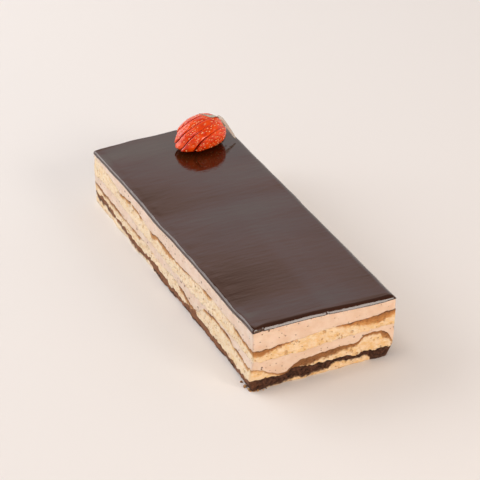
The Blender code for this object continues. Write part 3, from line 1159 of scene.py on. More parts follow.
@dataclass
class Layer:
    """One layer through the whole block, with its cut wall worked finely all round."""

    name: str
    top: Face
    foot: Face
    slot: Slot
    finish: Any
    relief: Callable[[Array, Array], Array]
    row: float = 0.5
    soak: Soak | None = None
    # How golden a sponge's crumb is on each side; on the ganache this share carries its painted light.
    golden: dict[str, Points] = field(default_factory=dict)

    def build(self, block: Block) -> bpy.types.Object:
        """Builds the layer in place.

        Args:
            block: The block that it is a layer of.

        Returns:
            The piece.
        """
        line = block.outline()
        heights = block.heights(line.x, line.y)
        top, foot = heights[self.top], heights[self.foot]
        thick = top - foot
        rows = max(4, math.ceil(float(np.percentile(thick, 90)) / self.row))
        columns = len(line.x)
        x, y, z, below = [], [], [], []
        for j in range(rows + 1):
            share = j / rows
            height = foot + thick * share
            wx, wy = block.strayed(line.x, line.y, height)
            places = np.stack((wx, wy, height), axis=1)
            out = self.relief(places, np.full(columns, share))
            x.append(wx + line.out_x * out)
            y.append(wy + line.out_y * out)
            z.append(height)
            below.append(top - height)
        form = Form()
        painted = self.paint(block, line, rows)
        values = {"below": np.concatenate(below), **painted}
        wall = block.placed(np.concatenate(x), np.concatenate(y), np.concatenate(z))
        form.add(wall, band(rows + 1, columns), **values)
        self.close(block, form, line, rows * columns, True, self.top)
        self.close(block, form, line, 0, False, self.foot)
        piece = form.piece(self.name, self.finish.material())
        return ready(piece, self.slot, self.name)

    def paint(self, block: Block, line: Outline, rows: int) -> dict[str, Array]:
        """The values painted on the wall.

        Args:
            block: The block.
            line: The line round it.
            rows: How many rows the wall has, less one.

        Returns:
            For each value's name, one for each of the wall's points.
        """
        zero = np.zeros(len(line.x))
        depth, strength, dark = self.soak.at(block, line, 17 + self.top.value) if self.soak else (zero,) * 3
        share = line.shares(HANDOVER, block.width, block.length)
        golden = zero + 0.35
        if self.golden:
            golden = sum(
                share[side] * Line(points).at(line.x if side in ("front", "back") else line.y)
                for side, points in self.golden.items()
            )
        return {
            "soak": np.tile(depth, rows + 1),
            "strength": np.tile(strength, rows + 1),
            "dark": np.tile(dark, rows + 1),
            "golden": np.tile(golden, rows + 1),
        }

    def close(self, block: Block, form: Form, line: Outline, first: int, upward: bool, face: Face) -> None:
        """Closes the top or the foot of the layer.

        Args:
            block: The block.
            form: The mesh being made, which has the wall.
            line: The outline of the block.
            first: The number of the first point of the wall's row that is closed.
            upward: Whether the closing faces face up.
            face: The face that they lie on.
        """
        inner_x, inner_y, faces = cap(block, line, 0.0, HIDDEN_STEP, upward)
        zero = np.zeros(len(inner_x))
        base = form.add(
            block.placed(inner_x, inner_y, block.heights(inner_x, inner_y)[face]), [],
            **{name: zero for name in form.values},
        )
        columns = len(line.x)
        form.faces.extend(tuple(first + k if k < columns else base + k - columns for k in f) for f in faces)


def cream_relief(places: Array, share: Array) -> Array:
    """How far the cut face of a buttercream stands out, in millimetres.

    Args:
        places: Points of the wall.
        share: How high each is in its layer, 0 to 1; it changes nothing here.

    Returns:
        The relief.
    """
    stretched = places * np.array((0.35, 0.35, 1.0))
    return 0.16 * rough(places, (11.0, 4.0), 3) + 0.10 * rough(stretched, (2.2, 1.0), 5)


def sponge_relief(places: Array, share: Array) -> Array:
    """How far the crumb stands out, with its pores, in millimetres.

    Args:
        places: Points of the wall.
        share: How high each is in its layer, 0 to 1; it changes nothing here.

    Returns:
        The relief.
    """
    crumb = 0.34 * rough(places, (5.0, 2.0, 1.0), 13) + 0.16 * rough(places, (1.1,), 19)
    return crumb - 0.75 * pits(places, 2.6, 0.95, 0.34, 23)


def ganache_relief(places: Array, share: Array) -> Array:
    """How far the torn ganache stands out, in millimetres.

    Args:
        places: Points of the wall.
        share: How high each is in its layer, 0 to 1; it changes nothing here.

    Returns:
        The relief.
    """
    lumps = 0.55 * rough(places, (4.0, 1.8, 1.0), 31)
    return lumps - 0.8 * pits(places, 3.1, 1.2, 0.35, 37)


def base_relief(places: Array, share: Array) -> Array:
    """How far the ragged bottom sponge stands out, drawn in at its foot, in millimetres.

    Args:
        places: Points of the wall.
        share: How high each is in its layer, 0 to 1.

    Returns:
        The relief.
    """
    ragged = 0.8 * rough(places, (5.0, 2.0, 1.1), 53) - 0.9 * pits(places, 2.8, 1.1, 0.4, 59)
    return ragged - 0.5 * (1 - share) ** 2


@dataclass
class Glaze:
    """The mirror glaze: a level top, an edge that rolls over, and a short wall."""

    name: str = "glaze"
    overhang: float = 0.22
    spacing: float = 1.5
    front_turn: Points = (
        (0, 0), (0.7, 4), (1.7, 18), (2.5, 42), (2.8, 52), (4.2, 61), (4.5, 86), (4.9, 90),
    )
    left_turn: Points = ((0, 0), (0.5, 4), (0.9, 24), (1.5, 50), (2.3, 84), (2.7, 90))
    arc_steps: int = 24
    lumps: float = 0.2
    lumps_fade: float = 8.0
    ripple: float = 0.02
    rolled: float = 0.92
    notches: Points = ((5.6, 0.55, 0.55), (44.0, 0.9, 0.35))
    wall_rows: Points = ((0.95, 0.0), (1.0, 0.05), (1.0, 0.4))

    def profile(self, turn: Points) -> tuple[Array, Array]:
        """Follows the edge from the level top outwards and down.

        Args:
            turn: (distance along the edge, how steeply it falls in degrees).

        Returns:
            How far out and how far down each place is.
        """
        along = np.linspace(0, turn[-1][0], self.arc_steps + 1)
        middle = 0.5 * (along[1:] + along[:-1])
        steep = np.radians(np.interp(middle, *zip(*turn)))
        run = np.diff(along)
        out = np.concatenate(([0.0], np.cumsum(run * np.cos(steep))))
        down = np.concatenate(([0.0], np.cumsum(run * np.sin(steep))))
        return out, down

    def build(self, block: Block) -> bpy.types.Object:
        """Builds the glaze in place.

        Args:
            block: The block that it covers.

        Returns:
            The piece.
        """
        line = block.outline()
        share = line.shares(HANDOVER, block.width, block.length)
        heights = block.heights(line.x, line.y)
        top, foot = heights[Face.GLAZE_TOP], heights[Face.GLAZE_FOOT]
        sides = {"front": self.profile(self.front_turn), "left": self.profile(self.left_turn)}
        sides["right"], sides["back"] = sides["front"], sides["left"]
        places = np.stack((line.x, line.y, np.zeros(len(line.x))), axis=1)
        size = 1 + 0.5 * rough(places, (8.0, 4.0), 71) * (share["left"] + share["back"])
        dent = np.zeros(len(line.x))
        for at, wide, deep in self.notches:
            dent += deep * np.exp(-(((line.x - at) / wide) ** 2)) * share["front"]
        rows_x, rows_y, rows_z = [], [], []
        skirt = (top - foot) + 0.1
        for k in reversed(range(self.arc_steps + 1)):
            inset = sum(share[s] * (sides[s][0][-1] - sides[s][0][k]) for s in sides) * size
            down = sum(share[s] * sides[s][1][k] for s in sides) * size
            steep = k / self.arc_steps
            height = top - np.minimum(down, skirt * self.rolled)
            x, y = block.drawn_in(line, inset - self.overhang * steep + dent * steep**2)
            moved_x, moved_y = block.strayed(line.x, line.y, height)
            rows_x.append(x + moved_x - line.x)
            rows_y.append(y + moved_y - line.y)
            rows_z.append(height)
        for share_down, tuck in self.wall_rows:
            rows_x.insert(0, rows_x[0] - line.out_x * tuck)
            rows_y.insert(0, rows_y[0] - line.out_y * tuck)
            rows_z.insert(0, top - skirt * share_down)
        columns, rows = len(line.x), len(rows_x)
        form = Form()
        form.add(block.placed(*(np.concatenate(a) for a in (rows_x, rows_y, rows_z))), band(rows, columns))
        reach = float(max(sides[s][0][-1] for s in sides))
        self.fill(block, form, line, reach, (rows - 1) * columns, True)
        self.fill(block, form, line, 0.0, 0, False)
        return ready(form.piece(self.name, GlazeFinish().material()), Slot.GLAZE, self.name)

    def fill(self, block: Block, form: Form, line: Outline, inset: float, first: int, upward: bool) -> None:
        """Fills the level top, or the underside.

        Args:
            block: The block.
            form: The mesh being made, which has the edge.
            line: The outline of the block.
            inset: How far inside it the row lies that is filled.
            first: The number of that row's first point.
            upward: Whether it is the top.
        """
        spacing = self.spacing if upward else HIDDEN_STEP
        inner_x, inner_y, faces = cap(block, line, inset, spacing, upward)
        face = Face.GLAZE_TOP if upward else Face.GLAZE_FOOT
        places = np.stack((inner_x, inner_y, np.zeros(len(inner_x))), axis=1)
        streaks = rough(places * np.array((0.3, 1.0, 1.0)), (6.0, 3.0), 83)
        uneven = self.lumps * streaks * np.exp(-inner_x / self.lumps_fade)
        uneven += self.ripple * rough(places * np.array((0.4, 1.0, 1.0)), (16.0,), 89)
        heights = block.heights(inner_x, inner_y)[face] + (uneven if upward else 0)
        base = form.add(block.placed(inner_x, inner_y, heights), [])
        columns = len(line.x)
        form.faces.extend(tuple(first + k if k < columns else base + k - columns for k in f) for f in faces)


# ---------------------------------------------------------------- strawberry


@dataclass
class Strawberry:
    """A strawberry cut from tip to calyx into slices, fanned about its calyx end."""

    name: str = "strawberry"
    length: float = 30.5
    half_width: float = 12.2
    half_height: float = 8.3
    centre: tuple[float, float] = (59.8, 202.6)
    turn: float = 17.0
    tip_power: float = 0.50
    end_power: float = 0.26
    pivot: float = 0.93
    slices: Points = (
        (5.6, -3.0, 0.8), (4.6, 0.5, 1.0), (4.4, 4.0, 1.6), (4.6, 7.5, 2.4), (5.6, 11.0, 2.0),
    )
    roll: float = 24.0
    sunk: float = 0.15
    edge_radius: float = 0.8
    overlap: float = 0.5
    sag: float = 0.8
    drop: float = 0.4
    fullness: float = 0.8
    stations: int = 64
    skin_steps: int = 22
    edge_steps: int = 4
    cut_steps: int = 7
    seed_rows: int = 15
    seeds_round: int = 20
    seed_jitter: float = 0.32
    seed_slip: float = 0.4
    seed_size: tuple[float, float, float] = (0.60, 0.36, 0.30)
    seed_depth: float = 0.62
    bare: float = 0.3
    dimple_depth: float = 0.46
    dimple_radius: float = 0.9

    def profile(self, share: Array) -> Array:
        """The berry's relative radius from its tip (0) to its calyx end (1)."""
        widest = self.tip_power / (self.tip_power + self.end_power)
        peak = widest**self.tip_power * (1 - widest) ** self.end_power
        return share**self.tip_power * (1 - share) ** self.end_power / peak

    def frame(self, block: Block) -> Matrix:
        """Takes the lying berry's own millimetres to its place on the cake, in metres.

        Args:
            block: The block that it lies on.

        Returns:
            The matrix.
        """
        reach = self.length / 2
        steps = (-reach, 0.0, reach)
        spots = [(self.centre[0] + a, self.centre[1] + b) for a in steps for b in steps]
        x, y = (np.array(c) for c in zip(*spots))
        ground = float(block.smooth_height(Face.GLAZE_TOP, x, y).max()) - self.sunk
        lie = Matrix.Translation(Vector((self.centre[0], self.centre[1], ground)))
        middle = Matrix.Translation(Vector((-reach, 0, 0)))
        to_origin = Matrix.Translation(Vector((-block.width / 2, -block.length / 2, 0)))
        turned = Matrix.Rotation(math.radians(self.turn), 4, "Z")
        return Matrix.Scale(MM, 4) @ to_origin @ lie @ turned @ middle

    def section(self, share: float, low: float, high: float) -> tuple[Array, Array] | None:
        """The rounded outline of a slice at one place along the berry.

        Args:
            share: The place, from the tip.
            low: The y of the slice's one cut.
            high: The y of its other cut.

        Returns:
            The outline's points and how much each belongs to a cut, or nothing where the slice has ended.
        """
        grown = float(self.profile(np.array(share)))
        wide, tall = self.half_width * grown, self.half_height * grown**self.fullness
        r = min(self.edge_radius, wide * 0.45)
        wide, tall = wide - r, tall - r
        low, high = max(low + r, -wide), min(high - r, wide)
        if high - low < 0.05:
            return None
        arc, bend, chord = self.skin_steps, self.edge_steps, self.cut_steps

        def facing(turn: float, side: int) -> float:
            """The direction that the skin faces."""
            return math.atan2(side * math.sin(turn) / tall, math.cos(turn) / wide)

        points, cuts = [], []
        for side, ends, begin, finish in ((1, (high, low), 0.0, math.pi), (-1, (low, high), -math.pi, 0.0)):
            turns = [math.acos(end / wide) for end in ends]
            is_cut = [float(abs(end) < wide - 1e-6) for end in ends]
            first, last = facing(turns[0], side), facing(turns[1], side)
            path = []
            for k in range(bend):
                path.append((turns[0], begin + (first - begin) * k / bend, is_cut[0] * (1 - k / bend)))
            for k in range(arc + 1):
                turn = turns[0] + (turns[1] - turns[0]) * k / arc
                path.append((turn, facing(turn, side), 0.0))
            for k in range(1, bend + 1):
                path.append((turns[1], last + (finish - last) * k / bend, is_cut[1] * k / bend))
            for turn, angle, cut in path:
                y, z = wide * math.cos(turn), side * tall * math.sin(turn)
                points.append((y + r * math.cos(angle), z + r * math.sin(angle)))
                cuts.append(cut)
            reach = side * tall * math.sin(turns[1])
            for k in range(1, chord):
                points.append((ends[1] + r * math.cos(finish), reach * (1 - 2 * k / chord)))
                cuts.append(is_cut[1])
        return np.array(points), np.array(cuts)

    def slice_form(self, low: float, high: float) -> tuple[Array, list[tuple[int, ...]], Array]:
        """One slice of the lying berry in its own millimetres.

        Args:
            low: The y of its one cut.
            high: The y of its other cut.

        Returns:
            Its points, its faces, and how much each point belongs to a cut.
        """
        shares = 0.5 - 0.5 * np.cos(np.pi * (np.arange(self.stations) + 0.5) / self.stations)
        rings, skins = [], []
        for share in shares:
            found = self.section(float(share), low, high)
            if found is None:
                continue
            flat, skin = found
            x = np.full(len(flat), share * self.length)
            rings.append(np.stack((x, flat[:, 0], flat[:, 1] + self.half_height), axis=1))
            skins.append(skin)
        columns = len(rings[0])
        faces: list[tuple[int, ...]] = list(band(len(rings), columns))
        points = np.concatenate(rings)
        ends = []
        for ring, direction in ((rings[0], -1), (rings[-1], 1)):
            ends.append(ring.mean(axis=0) + np.array((0.35 * direction, 0, 0)))
        points = np.concatenate((points, np.array(ends)))
        last = (len(rings) - 1) * columns
        for k in range(columns):
            faces.append((columns * len(rings), (k + 1) % columns, k))
            faces.append((columns * len(rings) + 1, last + k, last + (k + 1) % columns))
        return points, faces, np.concatenate((*skins, np.zeros(2)))

    def seed_places(self) -> list[tuple[Vector, Vector]]:
        """Where the seeds lie on the whole berry: in rows that are staggered, with a little disorder.

        Returns:
            Each seed's place and the direction out of the berry there.
        """
        found = []
        for row in range(self.seed_rows):
            share = (row + 0.7) / (self.seed_rows + 0.4)
            grown = float(self.profile(np.array(share)))
            around = max(5, round(self.seeds_round * grown))
            for k in range(around):
                cell = np.array([[row, k, 3]])
                jitter = self.seed_jitter * float(scattered(cell, 5)[0])
                slip = self.seed_slip * float(scattered(cell, 9)[0]) / self.seed_rows
                turn = 2 * math.pi * (k + 0.5 * (row % 2) + jitter) / around
                s = min(0.97, max(0.02, share + slip))
                here = float(self.profile(np.array(s)))
                ahead = float(self.profile(np.array(min(0.985, s + 0.01))))
                y, z = self.half_width * math.cos(turn), self.half_height * math.sin(turn)
                place = Vector((s * self.length, y * here, z * here**self.fullness + self.half_height))
                slope = (here - ahead) / (0.01 * self.length)
                across, up = math.cos(turn) / self.half_width, math.sin(turn) / self.half_height
                found.append((place, Vector((slope * 0.9, across, up)).normalized()))
        return found

    def build(self, block: Block) -> list[bpy.types.Object]:
        """Builds the slices and their seeds in place.

        Args:
            block: The block that the berry lies on.

        Returns:
            The slices and the seeds.
        """
        frame = self.frame(block)
        form, seeds = Form(), Form()
        edge = sum(s[0] for s in self.slices) / 2
        pivot = Matrix.Translation(Vector((self.length * self.pivot, 0, 0)))
        places = self.seed_places()
        for k, (width, angle, slide) in enumerate(self.slices):
            high = edge if k > 0 else 99.0
            edge -= width
            low = edge if k < len(self.slices) - 1 else -99.0
            points, faces, cut = self.slice_form(low - self.overlap, high + self.overlap)
            mine = [(p, n) for p, n in places if low + self.bare < p.y < high - self.bare]
            points = self.settled(self.rolled(points))
            mine = [(Vector(self.settled(self.rolled(np.array([p])))[0]), self.faced(n)) for p, n in mine]
            points, dimple = self.dimpled(points, mine)
            slid = Matrix.Translation(Vector((-slide, 0, 0)))
            turn = frame @ pivot @ Matrix.Rotation(math.radians(angle), 4, "Z") @ pivot.inverted() @ slid
            whole = np.array(turn)
            moved = points @ whole[:3, :3].T + whole[:3, 3]
            form.add(moved, faces, cut=cut, dimple=dimple)
            for place, out in mine:
                self.add_seed(seeds, turn, place - out * self.dimple_depth * self.seed_depth, out)
        piece = form.piece(self.name, BerrySkinFinish().material(), weld=WELD)
        grains = seeds.piece("strawberry_seeds", SeedFinish().material(), weld=WELD)
        return [ready(piece, Slot.STRAWBERRY, self.name), ready(grains, Slot.STRAWBERRY)]

    def rolled(self, points: Array) -> Array:
        """Rolls the berry about its length without changing its outline, so that its cuts lean.

        Args:
            points: Points of the lying berry.

        Returns:
            The moved points.
        """
        x, y, z = points.T
        turn, flat = math.radians(self.roll), self.half_height / self.half_width
        up = (z - self.half_height) / flat
        across = math.cos(turn) * y - math.sin(turn) * up
        height = self.half_height + flat * (math.sin(turn) * y + math.cos(turn) * up)
        return np.stack((x, across, height), axis=1)

    def faced(self, out: Vector) -> Vector:
        """The direction out of the berry, rolled as its points are."""
        turn, flat = math.radians(self.roll), self.half_height / self.half_width
        y = math.cos(turn) * out.y - math.sin(turn) * flat * out.z
        z = math.sin(turn) / flat * out.y + math.cos(turn) * out.z
        return Vector((out.x, y, z)).normalized()

    def settled(self, points: Array) -> Array:
        """Lowers the tapering tip to the ground and fills out the lower half, as a ripe berry spreads.

        Args:
            points: Points of the lying berry.

        Returns:
            The moved points.
        """
        x, y, z = points.T
        widest = self.tip_power / (self.tip_power + self.end_power)
        grown = self.profile(np.clip(x / self.length, 0.0, widest))
        z = z - self.drop * self.half_height * (1 - grown**self.fullness)
        wider = np.sqrt(1 + self.sag * np.maximum(0, 1 - z / self.half_height) ** 2)
        middle = self.length * widest
        return np.stack((middle + (x - middle) * wider, y * wider, z), axis=1)

    def dimpled(self, points: Array, places: list[tuple[Vector, Vector]]) -> tuple[Array, Array]:
        """Presses a dimple into the skin round every seed.

        Args:
            points: The slice's points.
            places: Its seeds' places and directions.

        Returns:
            The moved points, and how deep in a dimple each is, from 0 to 1.
        """
        moved, depth = points.copy(), np.zeros(len(points))
        for place, out in places:
            away = np.linalg.norm(points - np.array(place), axis=1) / self.dimple_radius
            press = np.exp(-(away**2) * 1.4)
            moved -= press[:, None] * np.array(out) * self.dimple_depth
            depth = np.maximum(depth, press)
        return moved, depth

    def add_seed(self, seeds: Form, turn: Matrix, place: Vector, out: Vector) -> None:
        """Adds one drop-shaped seed that lies in its dimple, pointing to the tip.

        Args:
            seeds: The mesh of all seeds.
            turn: Where the seed's slice lies.
            place: The middle of the seed in the berry's millimetres.
            out: The direction out of the berry.
        """
        long = (Vector((-1, 0, 0)) - out * -out.x).normalized()
        side = out.cross(long)
        rings, round_ = 5, 8
        half_length, half_width, half_height = self.seed_size
        points = []
        for j in range(rings + 1):
            lean = math.pi * j / rings
            girth = math.sin(lean) * (0.85 + 0.25 * math.cos(lean)) if 0 < j < rings else 0.02
            for i in range(round_):
                turned = 2 * math.pi * i / round_
                across = side * half_width * girth * math.cos(turned)
                up = out * half_height * girth * math.sin(turned)
                points.append(place - long * half_length * math.cos(lean) + across + up)
        moved = np.array([turn @ p for p in points])
        faces = [(a, d, c, b) for a, b, c, d in band(rings + 1, round_)]
        faces.append(tuple(range(round_)))
        faces.append(tuple(reversed(range(rings * round_, (rings + 1) * round_))))
        seeds.add(moved, faces)


@dataclass(frozen=True)
class Sepal:
    """One pointed leaf of the calyx, along a curve through its points, in the block's millimetres."""

    path: Points
    width: float
    up: tuple[float, float, float]
    pale: float
    blunt: float = 1.5
    waist: float = 0.6

    def at(self, share: float) -> Vector:
        """A place on the curve, from its root (0) to its tip (1)."""
        runs = len(self.path) - 1
        k = min(int(share * runs), runs - 1)
        s = share * runs - k
        a, b, c, d = (Vector(self.path[min(max(k + i, 0), runs)]) for i in (-1, 0, 1, 2))
        return b + 0.5 * s * (c - a + s * (2 * a - 5 * b + 4 * c - d + s * (3 * (b - c) + d - a)))


@dataclass
class Calyx:
    """Thin curled sepals round a hub with the stub of the stalk."""

    name: str = "strawberry_calyx"
    off: float = 1.2
    thick: float = 0.4
    sepals: tuple[Sepal, ...] = (
        # The long sepal: its near-white is partly its own colour, partly a painted reflection of the bright
        # backlight.
        Sepal(((73.4, 206.0, 51.8), (75.6, 203.8, 50.2), (79.0, 200.3, 44.0), (81.4, 196.4, 39.0)), 1.8,
              (-0.5, -0.7, 0.6), 1.0, 9.0, 0.95),
        Sepal(((73.8, 206.4, 50.0), (71.0, 203.8, 53.4), (68.2, 202.6, 54.3), (65.3, 204.8, 54.7),
               (62.4, 208.4, 55.0)), 3.6, (-0.2, -0.3, 0.9), 0.5),
        Sepal(((73.8, 207.6, 46.2), (76.3, 207.2, 46.6), (77.4, 204.0, 44.4), (77.2, 201.2, 42.2)), 2.8,
              (0.2, -0.7, 0.7), 0.0),
        Sepal(((73.8, 208.8, 46.4), (76.0, 211.6, 46.6), (77.6, 214.2, 44.4), (78.6, 216.0, 42.0)), 3.4,
              (0.5, 0.4, 0.7), 0.2),
        Sepal(((73.2, 209.4, 45.4), (72.6, 213.0, 45.6), (70.6, 216.2, 43.4), (68.4, 218.0, 41.2)), 3.6,
              (0.2, 0.7, 0.7), 0.1),
        Sepal(((74.0, 208.2, 44.6), (77.4, 209.8, 43.4), (80.2, 210.4, 41.0), (81.6, 210.2, 39.2)), 3.2,
              (0.5, 0.2, 0.8), 0.4),
    )
    hub: Points = ((-1.4, 0.2), (-1.4, 2.7), (-0.4, 2.8), (0.9, 1.5), (1.1, 0.95), (3.2, 0.8), (3.3, 0.2))
    sides: int = 18
    steps: int = 24
    across: int = 8
    narrowest: float = 0.12
    cupping: float = 0.22
    waviness: float = 0.3

    def build(self, block: Block, berry: Strawberry) -> bpy.types.Object:
        """Builds the calyx in place.

        Args:
            block: The block.
            berry: The berry that it belongs to.

        Returns:
            The piece.
        """
        form = Form()
        self.add_hub(form, berry.frame(block), Vector((berry.length + self.off, 0, berry.half_height)))
        for number, sepal in enumerate(self.sepals):
            self.add_sepal(form, block, number, sepal)
        return ready(form.piece(self.name, LeafFinish().material(), weld=WELD), Slot.LEAF, self.name)

    def add_hub(self, form: Form, frame: Matrix, centre: Vector) -> None:
        """Adds the hub with the stub of the stalk, turned about the berry's axis.

        Args:
            form: The mesh being made.
            frame: The berry's place.
            centre: The middle of the calyx.
        """
        points = []
        for along, radius in self.hub:
            for i in range(self.sides):
                turn = 2 * math.pi * i / self.sides
                spoke = Vector((along, radius * math.cos(turn), radius * math.sin(turn)))
                points.append(frame @ (centre + spoke))
        faces: list[tuple[int, ...]] = list(band(len(self.hub), self.sides))
        faces.append(tuple(range(self.sides)))
        faces.append(tuple(range((len(self.hub) - 1) * self.sides, len(self.hub) * self.sides)))
        zero = np.zeros(len(points))
        form.add(np.array(points), faces, pale=zero + 0.2, rim=zero, vein=zero)

    def add_sepal(self, form: Form, block: Block, number: int, sepal: Sepal) -> None:
        """Adds one leaf, cupped and a little wavy.

        Args:
            form: The mesh being made.
            block: The block.
            number: The sepal's number.
            sepal: The sepal.
        """
        upper, lower, rims, veins = [], [], [], []
        for k in range(self.steps + 1):
            share = k / self.steps
            place = sepal.at(share)
            ahead = sepal.at(min(1.0, share + 0.02)) - sepal.at(max(0.0, share - 0.02))
            side = ahead.cross(Vector(sepal.up)).normalized()
            up = side.cross(ahead).normalized()
            swell = sepal.waist + (1 - sepal.waist) * math.sin(math.pi * min(1.0, share * 1.3))
            half = max(self.narrowest, 0.5 * sepal.width * (1 - share**sepal.blunt) * swell)
            thick = self.thick * (1 - 0.5 * share) / 2
            wave = self.waviness * math.sin(8 * share + number * 1.9)
            for i in range(self.across + 1):
                s = 2 * i / self.across - 1
                lift = self.cupping * half * s * s + wave * s * 0.5
                body = max(0.08, math.sqrt(max(0.0, 1 - s**4)))
                at = place + side * half * s + up * lift
                upper.append(at + up * thick * body)
                lower.append(at - up * thick * body)
                rims.append(max(abs(s), share**3))
                veins.append(math.exp(-((s / 0.16) ** 2)) + 0.5 * math.exp(-(((abs(s) - 0.5) / 0.1) ** 2)))
        row = self.across + 1
        count = len(upper)
        faces: list[tuple[int, ...]] = []
        for k in range(self.steps):
            for i in range(self.across):
                a = k * row + i
                faces.append((a, a + row, a + 1 + row, a + 1))
                faces.append((count + a, count + a + 1, count + a + 1 + row, count + a + row))
            for i in (0, self.across):
                a = k * row + i
                faces.append((a, count + a, count + a + row, a + row))
        for k in (0, self.steps):
            for i in range(self.across):
                a = k * row + i
                faces.append((a, a + 1, count + a + 1, count + a))
        points = block.placed(*np.array([tuple(p) for p in (*upper, *lower)]).T)
        pale = np.full(len(points), sepal.pale)
        form.add(points, faces, pale=pale, rim=np.tile(rims, 2), vein=np.tile(veins, 2))


# ---------------------------------------------------------------- crumbs


@dataclass
class Crumbs:
    """Crumbs that have dropped to the ground at the front left corner."""

    name: str = "sponge_crumbs"
    count: int = 26
    smallest: float = 0.25
    largest: float = 0.85
    reach: float = 11.0
    spread: float = 1.9
    lumps: float = 0.45
    seed: int = 61

    def build(self, block: Block) -> bpy.types.Object:
        """Builds the crumbs in place.

        Args:
            block: The block that they dropped from.

        Returns:
            The piece.
        """
        form = Form()
        ball = bmesh.new()
        bmesh.ops.create_icosphere(ball, subdivisions=2, radius=1.0)
        round_ = np.array([tuple(v.co) for v in ball.verts])
        faces = [[v.index for v in f.verts] for f in ball.faces]
        ball.free()
        for k in range(self.count):
            along, away, size, side = scattered(np.array([[k, i, 0] for i in range(4)]), self.seed)
            radius = self.smallest + (self.largest - self.smallest) * (0.5 + 0.5 * size) ** 2
            run, off = self.reach * (0.5 + 0.5 * along) ** 1.5, -0.2 - self.spread * (0.5 + 0.5 * away) ** 2
            x, y = (run, off) if side > 0 else (off - 0.8, run)
            swell = 1 + self.lumps * rough(round_ * 2.0 + 9.0 * k, (1.0, 0.5), self.seed)
            lumpy = round_ * swell[:, None] * radius
            lumpy[:, 2] = np.maximum(lumpy[:, 2] * 0.75, -0.5 * radius) + 0.5 * radius
            form.add(block.placed(x + lumpy[:, 0], y + lumpy[:, 1], lumpy[:, 2]), faces)
        return ready(form.piece(self.name, CrumbFinish().material()), Slot.SPONGE)


# ---------------------------------------------------------------- studio


@dataclass
class Studio:
    """The pale floor, the soft light and the camera."""

    camera_at: tuple[float, float, float] = (-0.4362, -0.9404, 0.6374)
    camera_turn: tuple[float, float, float] = (59.31, 0.0, -25.02)
    lens: float = 157.3
    floor_size: float = 12.0
    sky: tuple[tuple[float, Colour], ...] = (
        (0.0, (1.05, 1.01, 0.98)), (0.44, (1.05, 1.01, 0.98)), (0.475, (1.06, 0.93, 0.97)),
        (0.505, (1.08, 0.86, 0.87)), (0.545, (1.02, 0.78, 0.69)), (0.68, (0.22, 0.215, 0.21)),
        (1.0, (0.22, 0.215, 0.21)),
    )
    near_walls: Colour = (0.80, 0.73, 0.65)

    def build(self) -> None:
        """Builds the floor, the light and the camera."""
        self.floor()
        self.world()
        self.lamp("key", (-1.0, 1.17, 0.74), (1.85, 1.3), 22.0, (1.0, 0.985, 0.99))
        self.lamp("overhead", (-0.5, 0.2, 2.3), (1.0, 1.0), 11.0, (1.0, 0.985, 0.97))
        self.lamp("rim", (0.62, -1.42, 0.86), (0.62, 0.46), 8.0, (1.0, 0.93, 0.86))
        self.lamp("bounce", (0.25, -0.9, 0.10), (0.7, 0.12), 2.6, (1.0, 0.58, 0.25))
        self.camera()

    def floor(self) -> None:
        """Lays the floor, which is not part of the cake."""
        half = self.floor_size / 2
        form = Form()
        corners = np.array([(-half, -half, 0), (half, -half, 0), (half, half, 0), (-half, half, 0)])
        form.add(corners, [(0, 1, 2, 3)])
        form.piece("floor", FloorFinish().material())

    def world(self) -> None:
        """Surrounds the cake with white walls that darken overhead."""
        world = bpy.data.worlds.new("studio")
        world.use_nodes = True
        bpy.context.scene.world = world
        n = Tree(world.node_tree)
        shine = n.tree.nodes["Background"]
        way = n.node("ShaderNodeTexCoord", output="Generated")
        up, along = (n.node("ShaderNodeSeparateXYZ", None, {0: way}, axis) for axis in ("Z", "Y"))
        brightest = max(max(colour) for _, colour in self.sky)
        heights = [(place, tuple(c / brightest for c in colour)) for place, colour in self.sky]
        depths = [(0.0, self.near_walls), (0.7, (1.0, 1.0, 1.0))]
        sky = n.node("ShaderNodeValToRGB", {"stops": heights}, {0: up})
        walls = n.node("ShaderNodeValToRGB", {"stops": depths}, {0: along + 1.0})
        settings = {"data_type": "RGBA", "blend_type": "MULTIPLY"}
        n.feed(shine.inputs[0], n.node("ShaderNodeMix", settings, {0: 1.0, 6: sky, 7: walls}, 2))
        shine.inputs[1].default_value = brightest

    def lamp(
        self,
        name: str,
        at: tuple[float, float, float],
        size: tuple[float, float],
        power: float,
        tint: Colour,
    ) -> None:
        """Adds one soft box that faces the cake.

        Args:
            name: Its name.
            at: Its middle.
            size: Its width and height in metres.
            power: Its power in watts.
            tint: Its colour.
        """
        light = bpy.data.lights.new(name, "AREA")
        light.shape = "RECTANGLE"
        light.size, light.size_y = size
        light.energy = power
        light.color = tint
        made = bpy.data.objects.new(name, light)
        made.location = at
        aim = Vector((0, 0, 0.03)) - Vector(at)
        made.rotation_euler = aim.to_track_quat("-Z", "Y").to_euler()
        bpy.context.scene.collection.objects.link(made)

    def camera(self) -> None:
        """Sets up the camera."""
        lens = bpy.data.cameras.new("camera")
        lens.lens = self.lens
        lens.sensor_width = 36.0
        lens.clip_start, lens.clip_end = 0.01, 50.0
        made = bpy.data.objects.new("camera", lens)
        made.location = self.camera_at
        made.rotation_euler = tuple(math.radians(a) for a in self.camera_turn)
        bpy.context.scene.collection.objects.link(made)
        bpy.context.scene.camera = made
        bpy.context.scene.view_settings.view_transform = "Standard"


# ---------------------------------------------------------------- the cake


